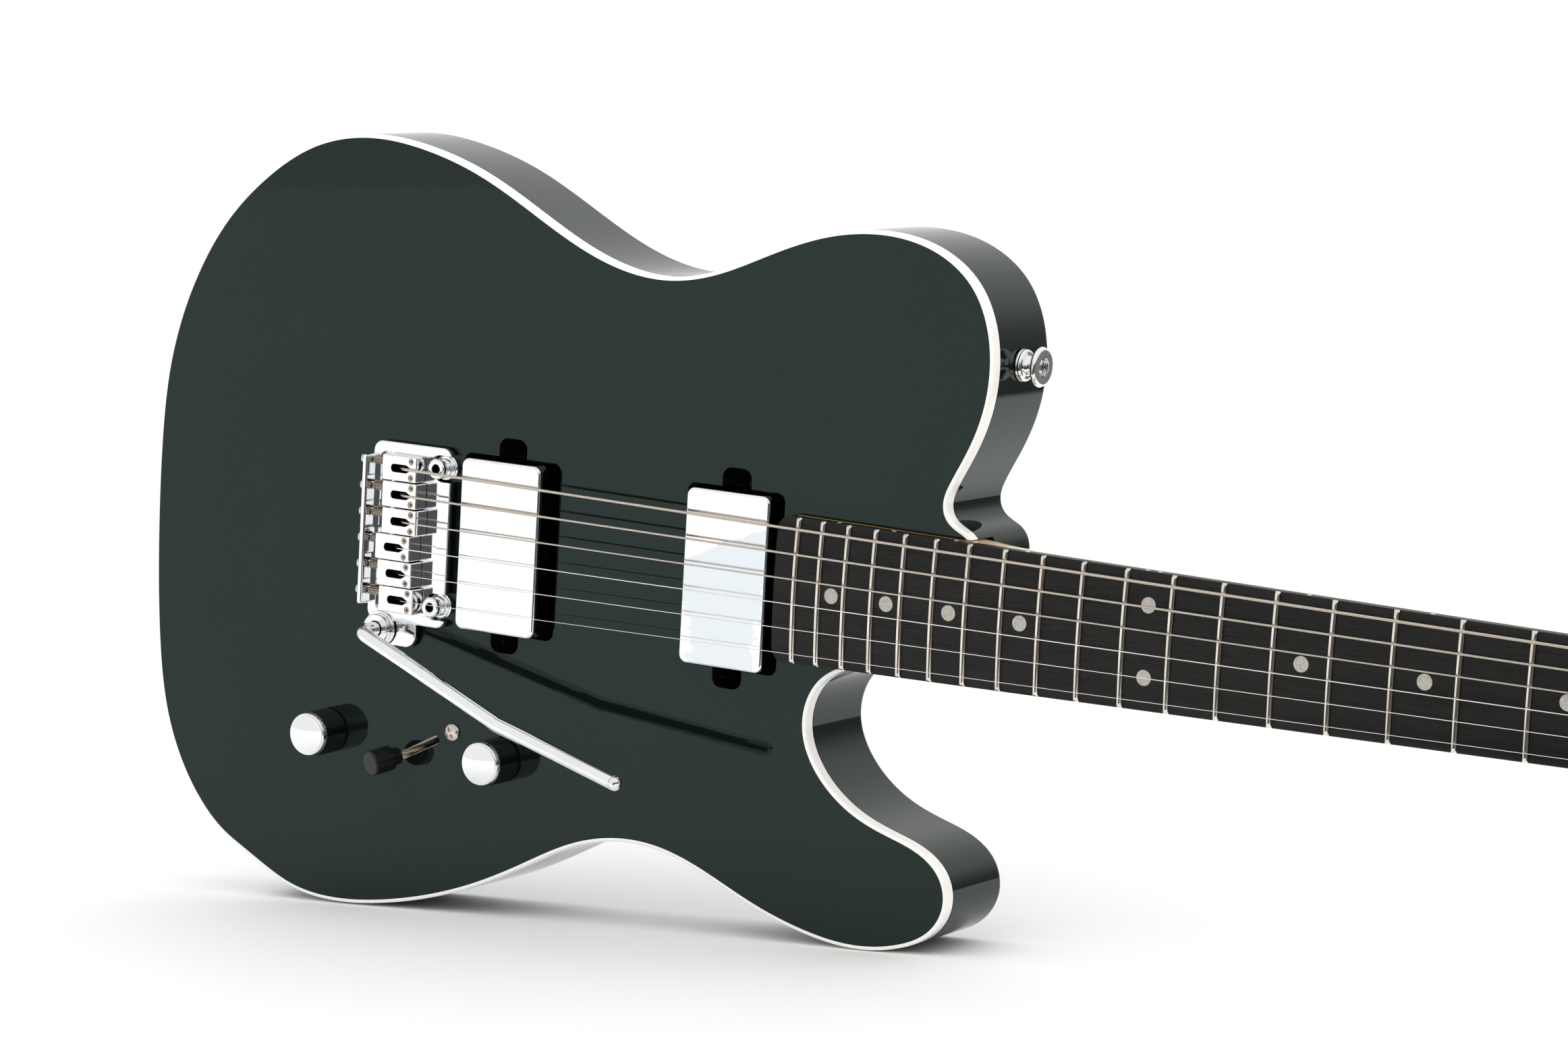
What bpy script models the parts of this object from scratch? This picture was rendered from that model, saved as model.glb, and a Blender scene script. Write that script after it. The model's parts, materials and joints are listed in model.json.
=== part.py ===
"""Electric guitar: a bound double-cutaway body, a bolt-on neck and a two-point tremolo.

Sizes are millimetres until MM turns them into metres. The guitar is drawn in its own frame:
x runs along the strings from the saddle line to the nut, h is the height above the body's front
face (the back of the body is below it) and z runs across the strings to the bass side.
The empty "guitar" then stands the whole instrument on its treble edge, on the floor z = 0.
"""

from math import atan2, cos, pi, radians, sin, sqrt, tan

import bmesh
import bpy
import numpy as np
from mathutils import Vector

MM = 0.001
GAP = 0.3

# Scale, neck and strings
SCALE = 648.0
FRETS = 22
WIDTH_AT_LAST_FRET = 56.55
WIDTH_AT_NUT = 42.0
BOARD_RADIUS = 305.0
BOARD_TOP = 7.2
BOARD_BOTTOM = 1.6
BOARD_END = 172.5
FRET_WIDTH = 2.7
FRET_HEIGHT = 1.2
HEEL_END = 178.0
HEEL_DEPTH = 17.3
NUT_BACK = SCALE + GAP
NUT_FRONT = SCALE + 5.0
STRING_DIAMETERS = (0.254, 0.330, 0.432, 0.660, 0.914, 1.168)
STRING_PITCH_BRIDGE = 10.66
STRING_PITCH_NUT = 6.98
SADDLE_FRONTS = (4.7, 3.7, 2.6, 5.2, 4.3, 3.4)
SADDLE_STRING_HEIGHTS = (10.4, 10.9, 11.4, 11.4, 10.9, 10.4)
SADDLE_LENGTH = 17.0
STRING_RISE = 9.8

# Body
BODY_DEPTH = 44.0
BACK_ROUND = 3.0
BINDING_WIDTH = 1.5
BINDING_DEPTH = 5.3
TOP_THICKNESS = 6.0
PICKUP_ROUT_DEPTH = 22.0
SPRING_ROOF = 27.0
COVER_THICKNESS = 2.2
SPRING_COVER = (-38, 116, -41, 41, 8)
CONTROL_COVER = (-73, 71, -115, -60, 14)
COVER_RECESS = BODY_DEPTH - COVER_THICKNESS - GAP
NECK_PLATE_THICKNESS = 1.8
NECK_PLATE = (194, 246, -25, 25, 6)
NECK_SCREWS = ((200.5, -18.5), (200.5, 18.5), (239.5, -18.5), (239.5, 18.5))
UPPER_STRAP_BUTTON = (258.9, -22, 93)
LOWER_STRAP_BUTTON = (-135.6, -22, 0)
STRAP_SCREW_RADIUS = 2.1
BODY_OUTLINE = (
    (-135.6, 0), (-135.3, 25), (-133.1, 52), (-127.6, 75.5), (-118.5, 97.6), (-104.7, 119.3),
    (-85.7, 138), (-62.4, 152.4), (-35, 158.4), (-5, 155.4), (20, 147.9), (45.5, 135.8),
    (68, 124.4), (88.8, 116.8), (110, 114), (132.6, 117.7), (157.4, 127.7), (183.5, 137),
    (208, 139.9), (230.5, 135.8), (248.5, 123.6), (257.2, 106), (258.8, 88), (256, 72),
    (250, 57.3), (244.2, 46), (242.4, 40), (243.5, 35.3), (247.5, 31.8), (252.5, 29),
    (255.5, 25), (256.5, 19), (256.5, 0), (256, -15), (253.5, -21.5), (248, -25.2),
    (238, -26.3), (222, -26.6), (208, -27.6), (198.5, -30.6), (191.2, -36.2), (186.7, -45),
    (186.3, -55.5), (191, -66.6), (199.8, -76.3), (212, -84), (227, -89.2), (241, -94.2),
    (249.9, -102), (252.6, -113), (247.3, -124.4), (233.4, -132.5), (212, -136.1),
    (189.7, -133.7), (164.5, -126.4), (140, -116.6), (120, -111.3), (100, -111.3),
    (80, -116.8), (58.8, -127.6), (35.7, -139.2), (12, -148), (-12, -153.9), (-38, -156.6),
    (-58.5, -153.9), (-72.6, -148.1), (-83.7, -142.6), (-94.2, -137), (-105.5, -127.5),
    (-117.3, -111.8), (-126.6, -91), (-132.5, -60.4), (-134.8, -30),
)
OUTLINE_STEPS = 2
ROUNDING_STEPS = 1
STANDING_TILT = radians(4.85)

# Pickups: centre x, height of the cover's top, half width of the rout
PICKUPS = {"bridge": (43.5, 8.3, 23.3), "neck": (149.0, 6.1, 22.3)}
PICKUP_HALF_LENGTH = 34.5
PICKUP_HALF_WIDTH = 19.0
PICKUP_CORNER = 5.0
COVER_DEPTH = 16.0
COVER_WALL = 1.0

# Tremolo
PIVOT = (11.3, 3.0)
STUD_Z = 28.0
STUD_HOLE_RADIUS = 4.6
PLATE_X = (-21.8, 16.6)
PLATE_Z = (-36.8, 36.4)
PLATE_BOTTOM = 1.5
PLATE_FLOOR = 2.9
PLATE_RIM = 4.3
SCREW_HEIGHT = 7.0
ARM_AXIS = (-14.7, -39.9)
ARM_RADIUS = 3.0
BLOCK_X = (-13.0, -1.0)
BLOCK_BOTTOM = -37.0
SPRING_Z = (-17.0, 0.0, 17.0)
SPRING_HEIGHT = -34.0
CLAW_X = 93.0
CLAW_SCREW_Z = 8.0

# Controls
KNOBS = {"volume": (45.0, -86.0), "tone": (-41.0, -86.0)}
KNOB_RADIUS = 9.25
KNOB_SHAFT_RADIUS = 3.0
SWITCH_CENTRE = (4.7, -86.8)
SWITCH_ANGLE = radians(-28.0)
SWITCH_LEAN = radians(22.3)
SWITCH_PIVOT = -14.0
SWITCH_SCREW_X = 17.85
JACK_CENTRE = (-83.7, -142.6)
JACK_ANGLE = radians(28.0)

# Headstock and tuners
HEADSTOCK_ANGLE = radians(11.0)
HEADSTOCK_THICKNESS = 14.0
FIRST_POST = 30.0
POST_STEP = 24.5
POST_RADIUS = 3.0
POST_TOP = 14.0
WORM_X = 7.9
WORM_HEIGHT = -18.8

FINISHES = {
    "gloss_black": ((0.012, 0.014, 0.015), 0.0, 0.05),
    "cream": ((0.80, 0.78, 0.68), 0.0, 0.25),
    "maple": ((0.78, 0.50, 0.17), 0.0, 0.25),
    "ebony": ((0.025, 0.021, 0.019), 0.0, 0.5),
    "bone": ((0.85, 0.82, 0.74), 0.0, 0.35),
    "chrome": ((0.85, 0.86, 0.87), 1.0, 0.06),
    "steel": ((0.62, 0.62, 0.62), 1.0, 0.3),
    "bronze": ((0.62, 0.50, 0.34), 1.0, 0.3),
    "black_plastic": ((0.02, 0.02, 0.02), 0.0, 0.4),
    "brass": ((0.72, 0.55, 0.25), 1.0, 0.3),
}


# ---------------------------------------------------------------- scene and objects

def clear_scene():
    for obj in list(bpy.data.objects):
        bpy.data.objects.remove(obj, do_unlink=True)


def new_collection(name):
    collection = bpy.data.collections.new(name)
    bpy.context.scene.collection.children.link(collection)
    return collection


def point(x, h, z):
    """Millimetres in the guitar's frame, as metres in Blender's axes."""
    return Vector((x, -h, z)) * MM


def new_empty(name, position, parent=None, turn=(0.0, 0.0, 0.0)):
    empty = bpy.data.objects.new(name, None)
    empty.empty_display_size = 10 * MM
    parts.objects.link(empty)
    empty.parent = parent
    empty.location = point(*position)
    empty.rotation_euler = turn
    return empty


def new_material(name, finish):
    colour, metallic, roughness = FINISHES[finish]
    material = bpy.data.materials.new(name)
    material.use_nodes = True
    shader = material.node_tree.nodes["Principled BSDF"]
    shader.inputs["Base Color"].default_value = (*colour, 1.0)
    shader.inputs["Metallic"].default_value = metallic
    shader.inputs["Roughness"].default_value = roughness
    return material


def add_object(name, data, finish, parent, location=None):
    """A part where finish names its material, or a cutter or added solid where it is None."""
    obj = bpy.data.objects.new(name, data)
    obj.parent = parent or guitar
    if location is not None:
        obj.location = location
    if finish is None:
        helpers.objects.link(obj)
        obj.hide_render = True
        obj.display_type = "WIRE"
    else:
        parts.objects.link(obj)
        data.materials.append(new_material(name, finish))
    return obj


def mesh_from(name, bm):
    bmesh.ops.recalc_face_normals(bm, faces=bm.faces)
    mesh = bpy.data.meshes.new(name)
    bm.to_mesh(mesh)
    bm.free()
    mesh.shade_smooth()
    mesh.set_sharp_from_angle(angle=radians(35))
    return mesh


def ride(pivot, *objects):
    """Parents pieces to a pivot empty that has no turn of its own, without moving them."""
    for obj in objects:
        obj.parent = pivot
        obj.location -= pivot.location


def combine(obj, operation, others):
    for other in others:
        modifier = obj.modifiers.new(f"{operation.lower()} {other.name}", "BOOLEAN")
        modifier.operation = operation
        modifier.object = other


def cut(obj, *cutters):
    combine(obj, "DIFFERENCE", cutters)


def join(obj, *additions):
    combine(obj, "UNION", additions)


# ---------------------------------------------------------------- shapes

def block(name, low, high, finish=None, parent=None, rounding=0.0):
    """A box between two corners given as (x, h, z)."""
    low, high = point(*low), point(*high)
    size = high - low
    bm = bmesh.new()
    bmesh.ops.create_cube(bm, size=1.0)
    bmesh.ops.scale(bm, vec=[abs(side) for side in size], verts=bm.verts)
    obj = add_object(name, mesh_from(name, bm), finish, parent, (low + high) / 2)
    if rounding:
        bevel = obj.modifiers.new("rounding", "BEVEL")
        bevel.width = rounding * MM
        bevel.segments = ROUNDING_STEPS
    return obj


def rod(name, start, end, radius, finish=None, parent=None, sides=12):
    start, end = point(*start), point(*end)
    along = end - start
    bm = bmesh.new()
    bmesh.ops.create_cone(bm, cap_ends=True, segments=sides, radius1=radius * MM,
                          radius2=radius * MM, depth=along.length)
    obj = add_object(name, mesh_from(name, bm), finish, parent, (start + end) / 2)
    obj.rotation_euler = along.to_track_quat("Z", "Y").to_euler()
    return obj


def turned(name, base, axis, profile, finish=None, parent=None, sides=12):
    """A profile of (radius, height) points turned about axis, listed from the top down."""
    mesh = bpy.data.meshes.new(name)
    corners = [(radius * MM, 0.0, height * MM) for radius, height in profile]
    mesh.from_pydata(corners, [(i, i + 1) for i in range(len(corners) - 1)], [])
    obj = add_object(name, mesh, finish, parent, point(*base))
    obj.rotation_euler = point(*axis).to_track_quat("Z", "Y").to_euler()
    screw = obj.modifiers.new("turning", "SCREW")
    screw.steps = screw.render_steps = sides
    screw.use_merge_vertices = True
    screw.merge_threshold = 0.00001
    return obj


def prism(name, outline, low, high, finish=None, parent=None, rounding=0.0):
    """An outline of (x, z) points made solid between two heights."""
    bm = bmesh.new()
    face = bm.faces.new([bm.verts.new(point(x, low, z)) for x, z in outline])
    grown = bmesh.ops.extrude_face_region(bm, geom=[face])["geom"]
    top = [item for item in grown if isinstance(item, bmesh.types.BMVert)]
    bmesh.ops.translate(bm, verts=top, vec=point(0, high - low, 0))
    obj = add_object(name, mesh_from(name, bm), finish, parent)
    if rounding:
        bevel = obj.modifiers.new("rounding", "BEVEL")
        bevel.width = rounding * MM
        bevel.segments = ROUNDING_STEPS
        bevel.limit_method = "ANGLE"
        bevel.angle_limit = radians(60)
    return obj


def loft(name, rings, finish=None, parent=None, closed=False):
    """A skin over rings of (x, h, z) points, capped at both ends or joined end to end."""
    bm = bmesh.new()
    rows = [[bm.verts.new(point(*corner)) for corner in ring] for ring in rings]
    pairs = list(zip(rows, rows[1:]))
    if closed:
        pairs.append((rows[-1], rows[0]))
    else:
        bm.faces.new(rows[0])
        bm.faces.new(rows[-1])
    for first, second in pairs:
        for i in range(len(first)):
            bm.faces.new((first[i - 1], first[i], second[i], second[i - 1]))
    return add_object(name, mesh_from(name, bm), finish, parent)


def tube(name, path, radius, finish, parent=None, resolution=1):
    """A round wire along (x, h, z) points."""
    curve = bpy.data.curves.new(name, "CURVE")
    curve.dimensions = "3D"
    curve.bevel_depth = radius * MM
    curve.bevel_resolution = resolution
    curve.use_fill_caps = True
    spline = curve.splines.new("POLY")
    spline.points.add(len(path) - 1)
    for spot, corner in zip(spline.points, path):
        spot.co = (*point(*corner), 1.0)
    return add_object(name, curve, finish, parent)


# ---------------------------------------------------------------- outlines and paths

def closed_spline(points, steps):
    """A smooth closed curve through the points, a periodic cubic spline over chord length."""
    knots = np.array(points, float)
    count = len(knots)
    span = np.linalg.norm(np.roll(knots, -1, axis=0) - knots, axis=1)
    before = np.roll(span, 1)
    matrix = np.zeros((count, count))
    for i in range(count):
        matrix[i, i - 1] = before[i]
        matrix[i, i] = 2 * (before[i] + span[i])
        matrix[i, (i + 1) % count] = span[i]
    slope = (np.roll(knots, -1, axis=0) - knots) / span[:, None]
    bend = np.linalg.solve(matrix, 6 * (slope - np.roll(slope, 1, axis=0)))
    curve = []
    for i in range(count):
        after = (i + 1) % count
        for step in range(steps):
            b = step / steps
            a = 1 - b
            lift = (a ** 3 - a) * bend[i] + (b ** 3 - b) * bend[after]
            curve.append(a * knots[i] + b * knots[after] + lift * span[i] ** 2 / 6)
    return np.array(curve)


def inset(curve, distance):
    """The closed curve moved inwards by a distance, along its normals."""
    along = np.roll(curve, -1, axis=0) - np.roll(curve, 1, axis=0)
    along /= np.linalg.norm(along, axis=1)[:, None]
    inward = np.column_stack((along[:, 1], -along[:, 0]))
    return curve + inward * distance


def rounded(corners, steps=3):
    """A polygon of (x, z, radius) corners, each corner an arc."""
    outline = []
    for i, (x, z, radius) in enumerate(corners):
        here = Vector((x, z))
        before = (Vector(corners[i - 1][:2]) - here).normalized()
        after = (Vector(corners[(i + 1) % len(corners)][:2]) - here).normalized()
        if radius == 0:
            outline.append((x, z))
            continue
        half = before.angle(after) / 2
        middle = (before + after).normalized()
        centre = here + middle * (radius / sin(half))
        first = here + before * (radius / tan(half)) - centre
        last = here + after * (radius / tan(half)) - centre
        start = atan2(first.y, first.x)
        sweep = (atan2(last.y, last.x) - start + pi) % (2 * pi) - pi
        for step in range(steps + 1):
            turn = start + sweep * step / steps
            outline.append((centre.x + radius * cos(turn), centre.y + radius * sin(turn)))
    return outline


def rectangle(x_low, x_high, z_low, z_high, radius, steps=3):
    corners = ((x_low, z_low), (x_high, z_low), (x_high, z_high), (x_low, z_high))
    return rounded([(x, z, radius) for x, z in corners], steps)


def grown(outline):
    """A rectangle's sides moved out by the gap, for the recess that a plate sits in."""
    x_low, x_high, z_low, z_high, radius = outline
    return x_low - GAP, x_high + GAP, z_low - GAP, z_high + GAP, radius


def bent_path(corners, radius, steps=5):
    """A path of (x, h, z) points whose inner corners are rounded."""
    path = [corners[0]]
    for before, here, after in zip(corners, corners[1:], corners[2:]):
        before, here, after = Vector(before), Vector(here), Vector(after)
        back = (before - here).normalized()
        on = (after - here).normalized()
        reach = radius / tan(back.angle(on) / 2)
        start, end = here + back * reach, here + on * reach
        for step in range(steps + 1):
            t = step / steps
            path.append(tuple(start * (1 - t) ** 2 + here * 2 * t * (1 - t) + end * t ** 2))
    path.append(corners[-1])
    return path


def neck_half_width(x):
    last_fret = SCALE / 2 ** (FRETS / 12)
    taper = (WIDTH_AT_LAST_FRET - WIDTH_AT_NUT) / (SCALE - last_fret)
    return (WIDTH_AT_LAST_FRET - taper * (x - last_fret)) / 2


def board_height(z):
    return BOARD_TOP - BOARD_RADIUS + sqrt(BOARD_RADIUS ** 2 - z ** 2)


def string_z(number, pitch):
    """Across the strings: number 1 is the thin treble string, 6 the thick bass string."""
    return (number - 3.5) * pitch


# ---------------------------------------------------------------- body

def body_ring(inset_by, h):
    return [(x, h, z) for x, z in inset(body_curve, inset_by)]


def make_body():
    rebate = BINDING_WIDTH + GAP
    rings = []
    for step in range(3):
        turn = pi / 2 * step / 2
        narrower, higher = BACK_ROUND * (1 - sin(turn)), BACK_ROUND * (1 - cos(turn))
        rings.append(body_ring(narrower, -BODY_DEPTH + higher))
    rings.append(body_ring(0.0, -BINDING_DEPTH - GAP))
    rings.append(body_ring(rebate, -BINDING_DEPTH - GAP))
    rings.append(body_ring(rebate, 0.0))
    body = loft("body_shell", rings, "gloss_black")
    cut(body, *pocket_cutters(), *pickup_cutters(), *tremolo_cutters(), *control_cutters())
    for name, (x, h, z), inwards in (("lower", LOWER_STRAP_BUTTON, 1), ("upper", UPPER_STRAP_BUTTON, -1)):
        cut(body, rod(f"{name}_button_hole", (x - 5 * inwards, h, z), (x + 28 * inwards, h, z),
                      STRAP_SCREW_RADIUS + GAP))


def neck_zone(name, spare, x_low, x_high, low, high):
    corners = []
    for x, side in ((x_low, -1), (x_high, -1), (x_high, 1), (x_low, 1)):
        corners.append((x, side * (neck_half_width(x) + spare)))
    return prism(name, corners, low, high)


def make_binding():
    rings = [body_ring(0.0, -BINDING_DEPTH), body_ring(0.0, 0.0),
             body_ring(BINDING_WIDTH, 0.0), body_ring(BINDING_WIDTH, -BINDING_DEPTH)]
    binding = loft("body_binding", rings, "cream", closed=True)
    cut(binding, neck_zone("binding_end_cutter", GAP, 150, 270, -10, 5))


def pocket_cutters():
    bottom = BOARD_BOTTOM - GAP - HEEL_DEPTH - GAP
    pocket = neck_zone("neck_pocket", GAP, HEEL_END - GAP, 270, bottom, 4)
    recess = prism("neck_plate_recess", rectangle(*grown(NECK_PLATE)), -50,
                   -BODY_DEPTH + NECK_PLATE_THICKNESS + GAP)
    holes = [rod(f"neck_screw_hole_{i}", (x, -43, z), (x, -8, z), 2.7, sides=8)
             for i, (x, z) in enumerate(NECK_SCREWS)]
    return [pocket, recess, *holes]


def pickup_cutters():
    cutters = []
    for name, (x, top, half_width) in PICKUPS.items():
        rout = rectangle(x - half_width, x + half_width, -35.6, 35.6, 3.5)
        ears = rectangle(x - 6.7, x + 6.7, -43.2, 43.2, 4)
        cutters.append(prism(f"{name}_rout", rout, -PICKUP_ROUT_DEPTH, 5))
        cutters.append(prism(f"{name}_ear_rout", ears, -PICKUP_ROUT_DEPTH + 0.4, 5.5))
    return cutters


def tremolo_cutters():
    cavity = prism("tremolo_cavity", rectangle(-21.6, 3, -32, 32, 3), -SPRING_ROOF - 2, 4)
    springs = prism("spring_cavity", rectangle(-30, 108, -33, 33, 5), -50, -SPRING_ROOF)
    recess = prism("spring_cover_recess", rectangle(*grown(SPRING_COVER)), -50, -COVER_RECESS)
    studs = [rod(f"stud_hole_{side}", (PIVOT[0], 3, side * STUD_Z), (PIVOT[0], -22, side * STUD_Z),
                 STUD_HOLE_RADIUS) for side in (-1, 1)]
    screws = [rod(f"claw_screw_hole_{side}", (104, -35, side * CLAW_SCREW_Z),
                  (125, -35, side * CLAW_SCREW_Z), 2.4, sides=8) for side in (-1, 1)]
    return [cavity, springs, recess, *studs, *screws]


def control_cutters():
    pocket = prism("control_cavity", rectangle(-66, 64, -108, -67, 10), -50, -TOP_THICKNESS)
    recess = prism("control_cover_recess", rectangle(*grown(CONTROL_COVER)), -50, -COVER_RECESS)
    holes = [rod(f"{name}_pot_hole", (x, 3, z), (x, -12, z), 4.9) for name, (x, z) in KNOBS.items()]
    slot = block("switch_slot", (-10.4, -12, -1.7), (10.4, 3, 1.7), parent=switch_mount)
    screws = [rod(f"switch_screw_hole_{side}", (side * SWITCH_SCREW_X, 3, 0),
                  (side * SWITCH_SCREW_X, -12, 0), 1.8, parent=switch_mount, sides=8) for side in (-1, 1)]
    jack = rod("jack_hole", (0, 0, -6), (0, 0, 46), 10.5, parent=jack_mount)
    return [pocket, recess, *holes, slot, *screws, jack]


# ---------------------------------------------------------------- neck

def neck_ring(x, top, half_width, depth, squareness, count=10):
    """A D-shaped section: flat on top, and a superellipse below."""
    ring = []
    for step in range(count + 1):
        turn = pi * step / count
        side = abs(cos(turn)) ** (2 / squareness) * (1 if turn < pi / 2 else -1)
        ring.append((x, top - depth * sin(turn) ** (2 / squareness), half_width * side))
    return ring


def headstock_outline():
    return rounded([
        (0, 21.4, 0), (9, 21.8, 10), (30, 33.6, 9), (171, -3.6, 6), (184, -19, 6),
        (150, -34, 13), (92, -25.5, 70), (26, -30.5, 9), (9, -21.6, 8), (0, -21.4, 0),
    ])


def make_neck():
    top = BOARD_BOTTOM - GAP
    stations = (
        (HEEL_END, HEEL_DEPTH, 9), (256, HEEL_DEPTH, 9), (262, 17.0, 6), (270, 15.8, 4),
        (281, 14.6, 3), (296, 14.1, 2.5), (400, 13.6, 2.3), (520, 13.1, 2.2), (620, 12.8, 2.2),
        (638, 13.4, 2.3), (648, 14.6, 2.6), (NUT_FRONT, 15.0, 2.8),
    )
    rings = [neck_ring(x, top, neck_half_width(x), depth, square) for x, depth, square in stations]
    drop = 9 * tan(HEADSTOCK_ANGLE) + GAP
    rings.append(neck_ring(NUT_FRONT + 9, top - drop, 19, 12.5, 2.8))
    neck = loft("neck", rings, "maple")
    slab = prism("headstock_slab", headstock_outline(), -HEADSTOCK_THICKNESS, 0,
                 parent=headstock, rounding=1.5)
    join(neck, slab)
    for i, (x, z) in enumerate(NECK_SCREWS):
        cut(neck, rod(f"heel_screw_hole_{i}", (x, -20, z), (x, -2.5, z), 2.5, sides=8))
    for number, mount in tuner_mounts.items():
        cut(neck, rod(f"tuner_hole_{number}", (0, 3, 0), (0, -18, 0), 5.3, parent=mount))


def make_fingerboard():
    end_rounding = 5.0
    stations = [(BOARD_END + end_rounding * (1 - cos(turn)), end_rounding * (1 - sin(turn)))
                for turn in np.linspace(0, pi / 2, 4)]
    stations.append((SCALE - GAP, 0.0))
    rings = []
    for x, narrowing in stations:
        half = neck_half_width(x) - narrowing
        across = np.linspace(-half, half, 7)
        rings.append([(x, board_height(z), z) for z in across]
                     + [(x, BOARD_BOTTOM, half), (x, BOARD_BOTTOM, -half)])
    board = loft("fingerboard", rings, "ebony")
    join(board, *[make_fret(number) for number in range(1, FRETS + 1)])


def make_fret(number):
    x = SCALE / 2 ** (number / 12)
    half = neck_half_width(x) - GAP
    rings = []
    for z in np.linspace(-half, half, 5):
        foot = board_height(z) - 0.8
        crown = board_height(z) + FRET_HEIGHT
        side = FRET_WIDTH / 2
        rings.append([(x - side, foot, z), (x - side / 2, crown, z), (x + side / 2, crown, z),
                      (x + side, foot, z)])
    return loft(f"fret_{number}", rings)


def make_nut():
    half = neck_half_width(SCALE)
    nut = block("nut", (NUT_BACK, BOARD_BOTTOM, -half), (NUT_FRONT, 9.6, half), "bone")
    for number in range(1, 7):
        z = string_z(number, STRING_PITCH_NUT)
        width = STRING_DIAMETERS[number - 1] / 2 + GAP
        slot = block(f"nut_slot_{number}", (NUT_BACK - 3, nut_height(number) - width, z - width),
                     (NUT_FRONT + 3, 15, z + width))
        cut(nut, slot)


def make_neck_plate():
    plate = prism("neck_plate", rectangle(*NECK_PLATE), -BODY_DEPTH, -BODY_DEPTH + NECK_PLATE_THICKNESS,
                  "chrome")
    for i, (x, z) in enumerate(NECK_SCREWS):
        join(plate, rod(f"neck_screw_{i}", (x, -43, z), (x, -4, z), 2.1, sides=8))


# ---------------------------------------------------------------- strings

def nut_height(number):
    """Height of a string's centre where it crosses the nut."""
    z = string_z(number, STRING_PITCH_NUT)
    return board_height(z) + FRET_HEIGHT + 0.2 + STRING_DIAMETERS[number - 1] / 2


def on_headstock(x, h, z):
    """A point in the headstock's frame, as (x, h, z) in the guitar's frame."""
    origin_x, origin_h = NUT_FRONT, BOARD_BOTTOM - GAP
    back, down = cos(HEADSTOCK_ANGLE), sin(HEADSTOCK_ANGLE)
    return origin_x + x * back + h * down, origin_h + h * back - x * down, z


def make_string(number):
    radius = STRING_DIAMETERS[number - 1] / 2
    rise_x = SADDLE_FRONTS[number - 1] - STRING_RISE
    crest = SADDLE_STRING_HEIGHTS[number - 1]
    z_bridge = string_z(number, STRING_PITCH_BRIDGE)
    z_nut = string_z(number, STRING_PITCH_NUT)
    post_x, post_z = post_position(number)
    path = [(rise_x, -30, z_bridge), (rise_x, crest - 6.5, z_bridge)]
    path += [(rise_x + 1.2, crest - 3.0, z_bridge), (rise_x + 3.6, crest - 0.9, z_bridge),
             (rise_x + 6.5, crest, z_bridge)]
    path.append((NUT_FRONT - 2, nut_height(number), z_nut))
    path.append(on_headstock(post_x, 7.0, post_z - POST_RADIUS - GAP - radius))
    return tube(f"string_{number}", path, radius, "steel" if number < 4 else "bronze")


# ---------------------------------------------------------------- pickups

def make_pickup(name, x, top):
    length, width = PICKUP_HALF_LENGTH, PICKUP_HALF_WIDTH
    outline = rectangle(x - width, x + width, -length, length, PICKUP_CORNER)
    shell = prism(f"{name}_pickup_cover", outline, top - COVER_DEPTH, top, "chrome", rounding=1.0)
    inner = rectangle(x - width + COVER_WALL, x + width - COVER_WALL, -length + COVER_WALL,
                      length - COVER_WALL, PICKUP_CORNER - COVER_WALL)
    cut(shell, prism(f"{name}_cover_hollow", inner, top - COVER_DEPTH - 2, top - COVER_WALL))
    spare = COVER_WALL + GAP
    core_width, core_length = width - spare - 1.5, length - spare - 1.5
    core = block(f"{name}_pickup_coils", (x - core_width, top - COVER_DEPTH + 1, -core_length),
                 (x + core_width, top - spare, core_length), "black_plastic")
    baseplate_low = top - COVER_DEPTH - 2.2
    legs = prism(f"{name}_baseplate", rectangle(x - 6, x + 6, -42, 42, 3),
                 baseplate_low, top - COVER_DEPTH - GAP)
    middle = block(f"{name}_coil_stem", (x - 15, baseplate_low + 0.5, -30),
                   (x + 15, top - COVER_DEPTH + 3, 30))
    join(core, middle, legs)
    for side in (-1, 1):
        join(core, rod(f"{name}_pickup_screw_{side}", (x, -PICKUP_ROUT_DEPTH + 1, side * 38.5),
                       (x, top - COVER_DEPTH + 1.2, side * 38.5), 1.7, sides=8))


# ---------------------------------------------------------------- tremolo

def make_plate():
    plate = prism("tremolo_plate", rectangle(*PLATE_X, *PLATE_Z, 5), PLATE_BOTTOM, PLATE_RIM, "chrome",
                  rounding=0.6)
    tab = prism("arm_tab", rectangle(PLATE_X[0] + 0.5, 2.2, -46.4, -30, 5), PLATE_BOTTOM + 0.05, 3.6)
    lip = prism("rear_lip", rectangle(-21.8, -19.4, -30, 31, 1.1), PLATE_BOTTOM + 0.5, 12, rounding=0.6)
    collar = rod("arm_collar", arm_point(2.0), arm_point(8.2), 6.2)
    join(plate, tab, collar)
    tray = prism("saddle_tray", rectangle(-18, 11, -32.6, 32.3, 2), PLATE_FLOOR, 9)
    cut(plate, tray)
    join(plate, lip)
    for number in range(1, 7):
        z = string_z(number, STRING_PITCH_BRIDGE)
        rise_x = SADDLE_FRONTS[number - 1] - STRING_RISE
        cut(plate, rod(f"plate_string_hole_{number}", (rise_x, -2, z), (rise_x, 6, z), 2.2, sides=8),
            rod(f"lip_screw_hole_{number}", (-26, SCREW_HEIGHT, z), (-16, SCREW_HEIGHT, z), 1.7, sides=8))
    for side in (-1, 1):
        notch = rectangle(PIVOT[0] - 5.6, PLATE_X[1] + 10, side * STUD_Z - 5.6, side * STUD_Z + 5.6, 5.5)
        cut(plate, prism(f"stud_notch_{side}", notch, -3, 12))
    cut(plate, rod("arm_bore", arm_point(-3), arm_point(12), ARM_RADIUS + 0.35))
    return plate


def arm_point(h):
    return ARM_AXIS[0], h, ARM_AXIS[1]


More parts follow.
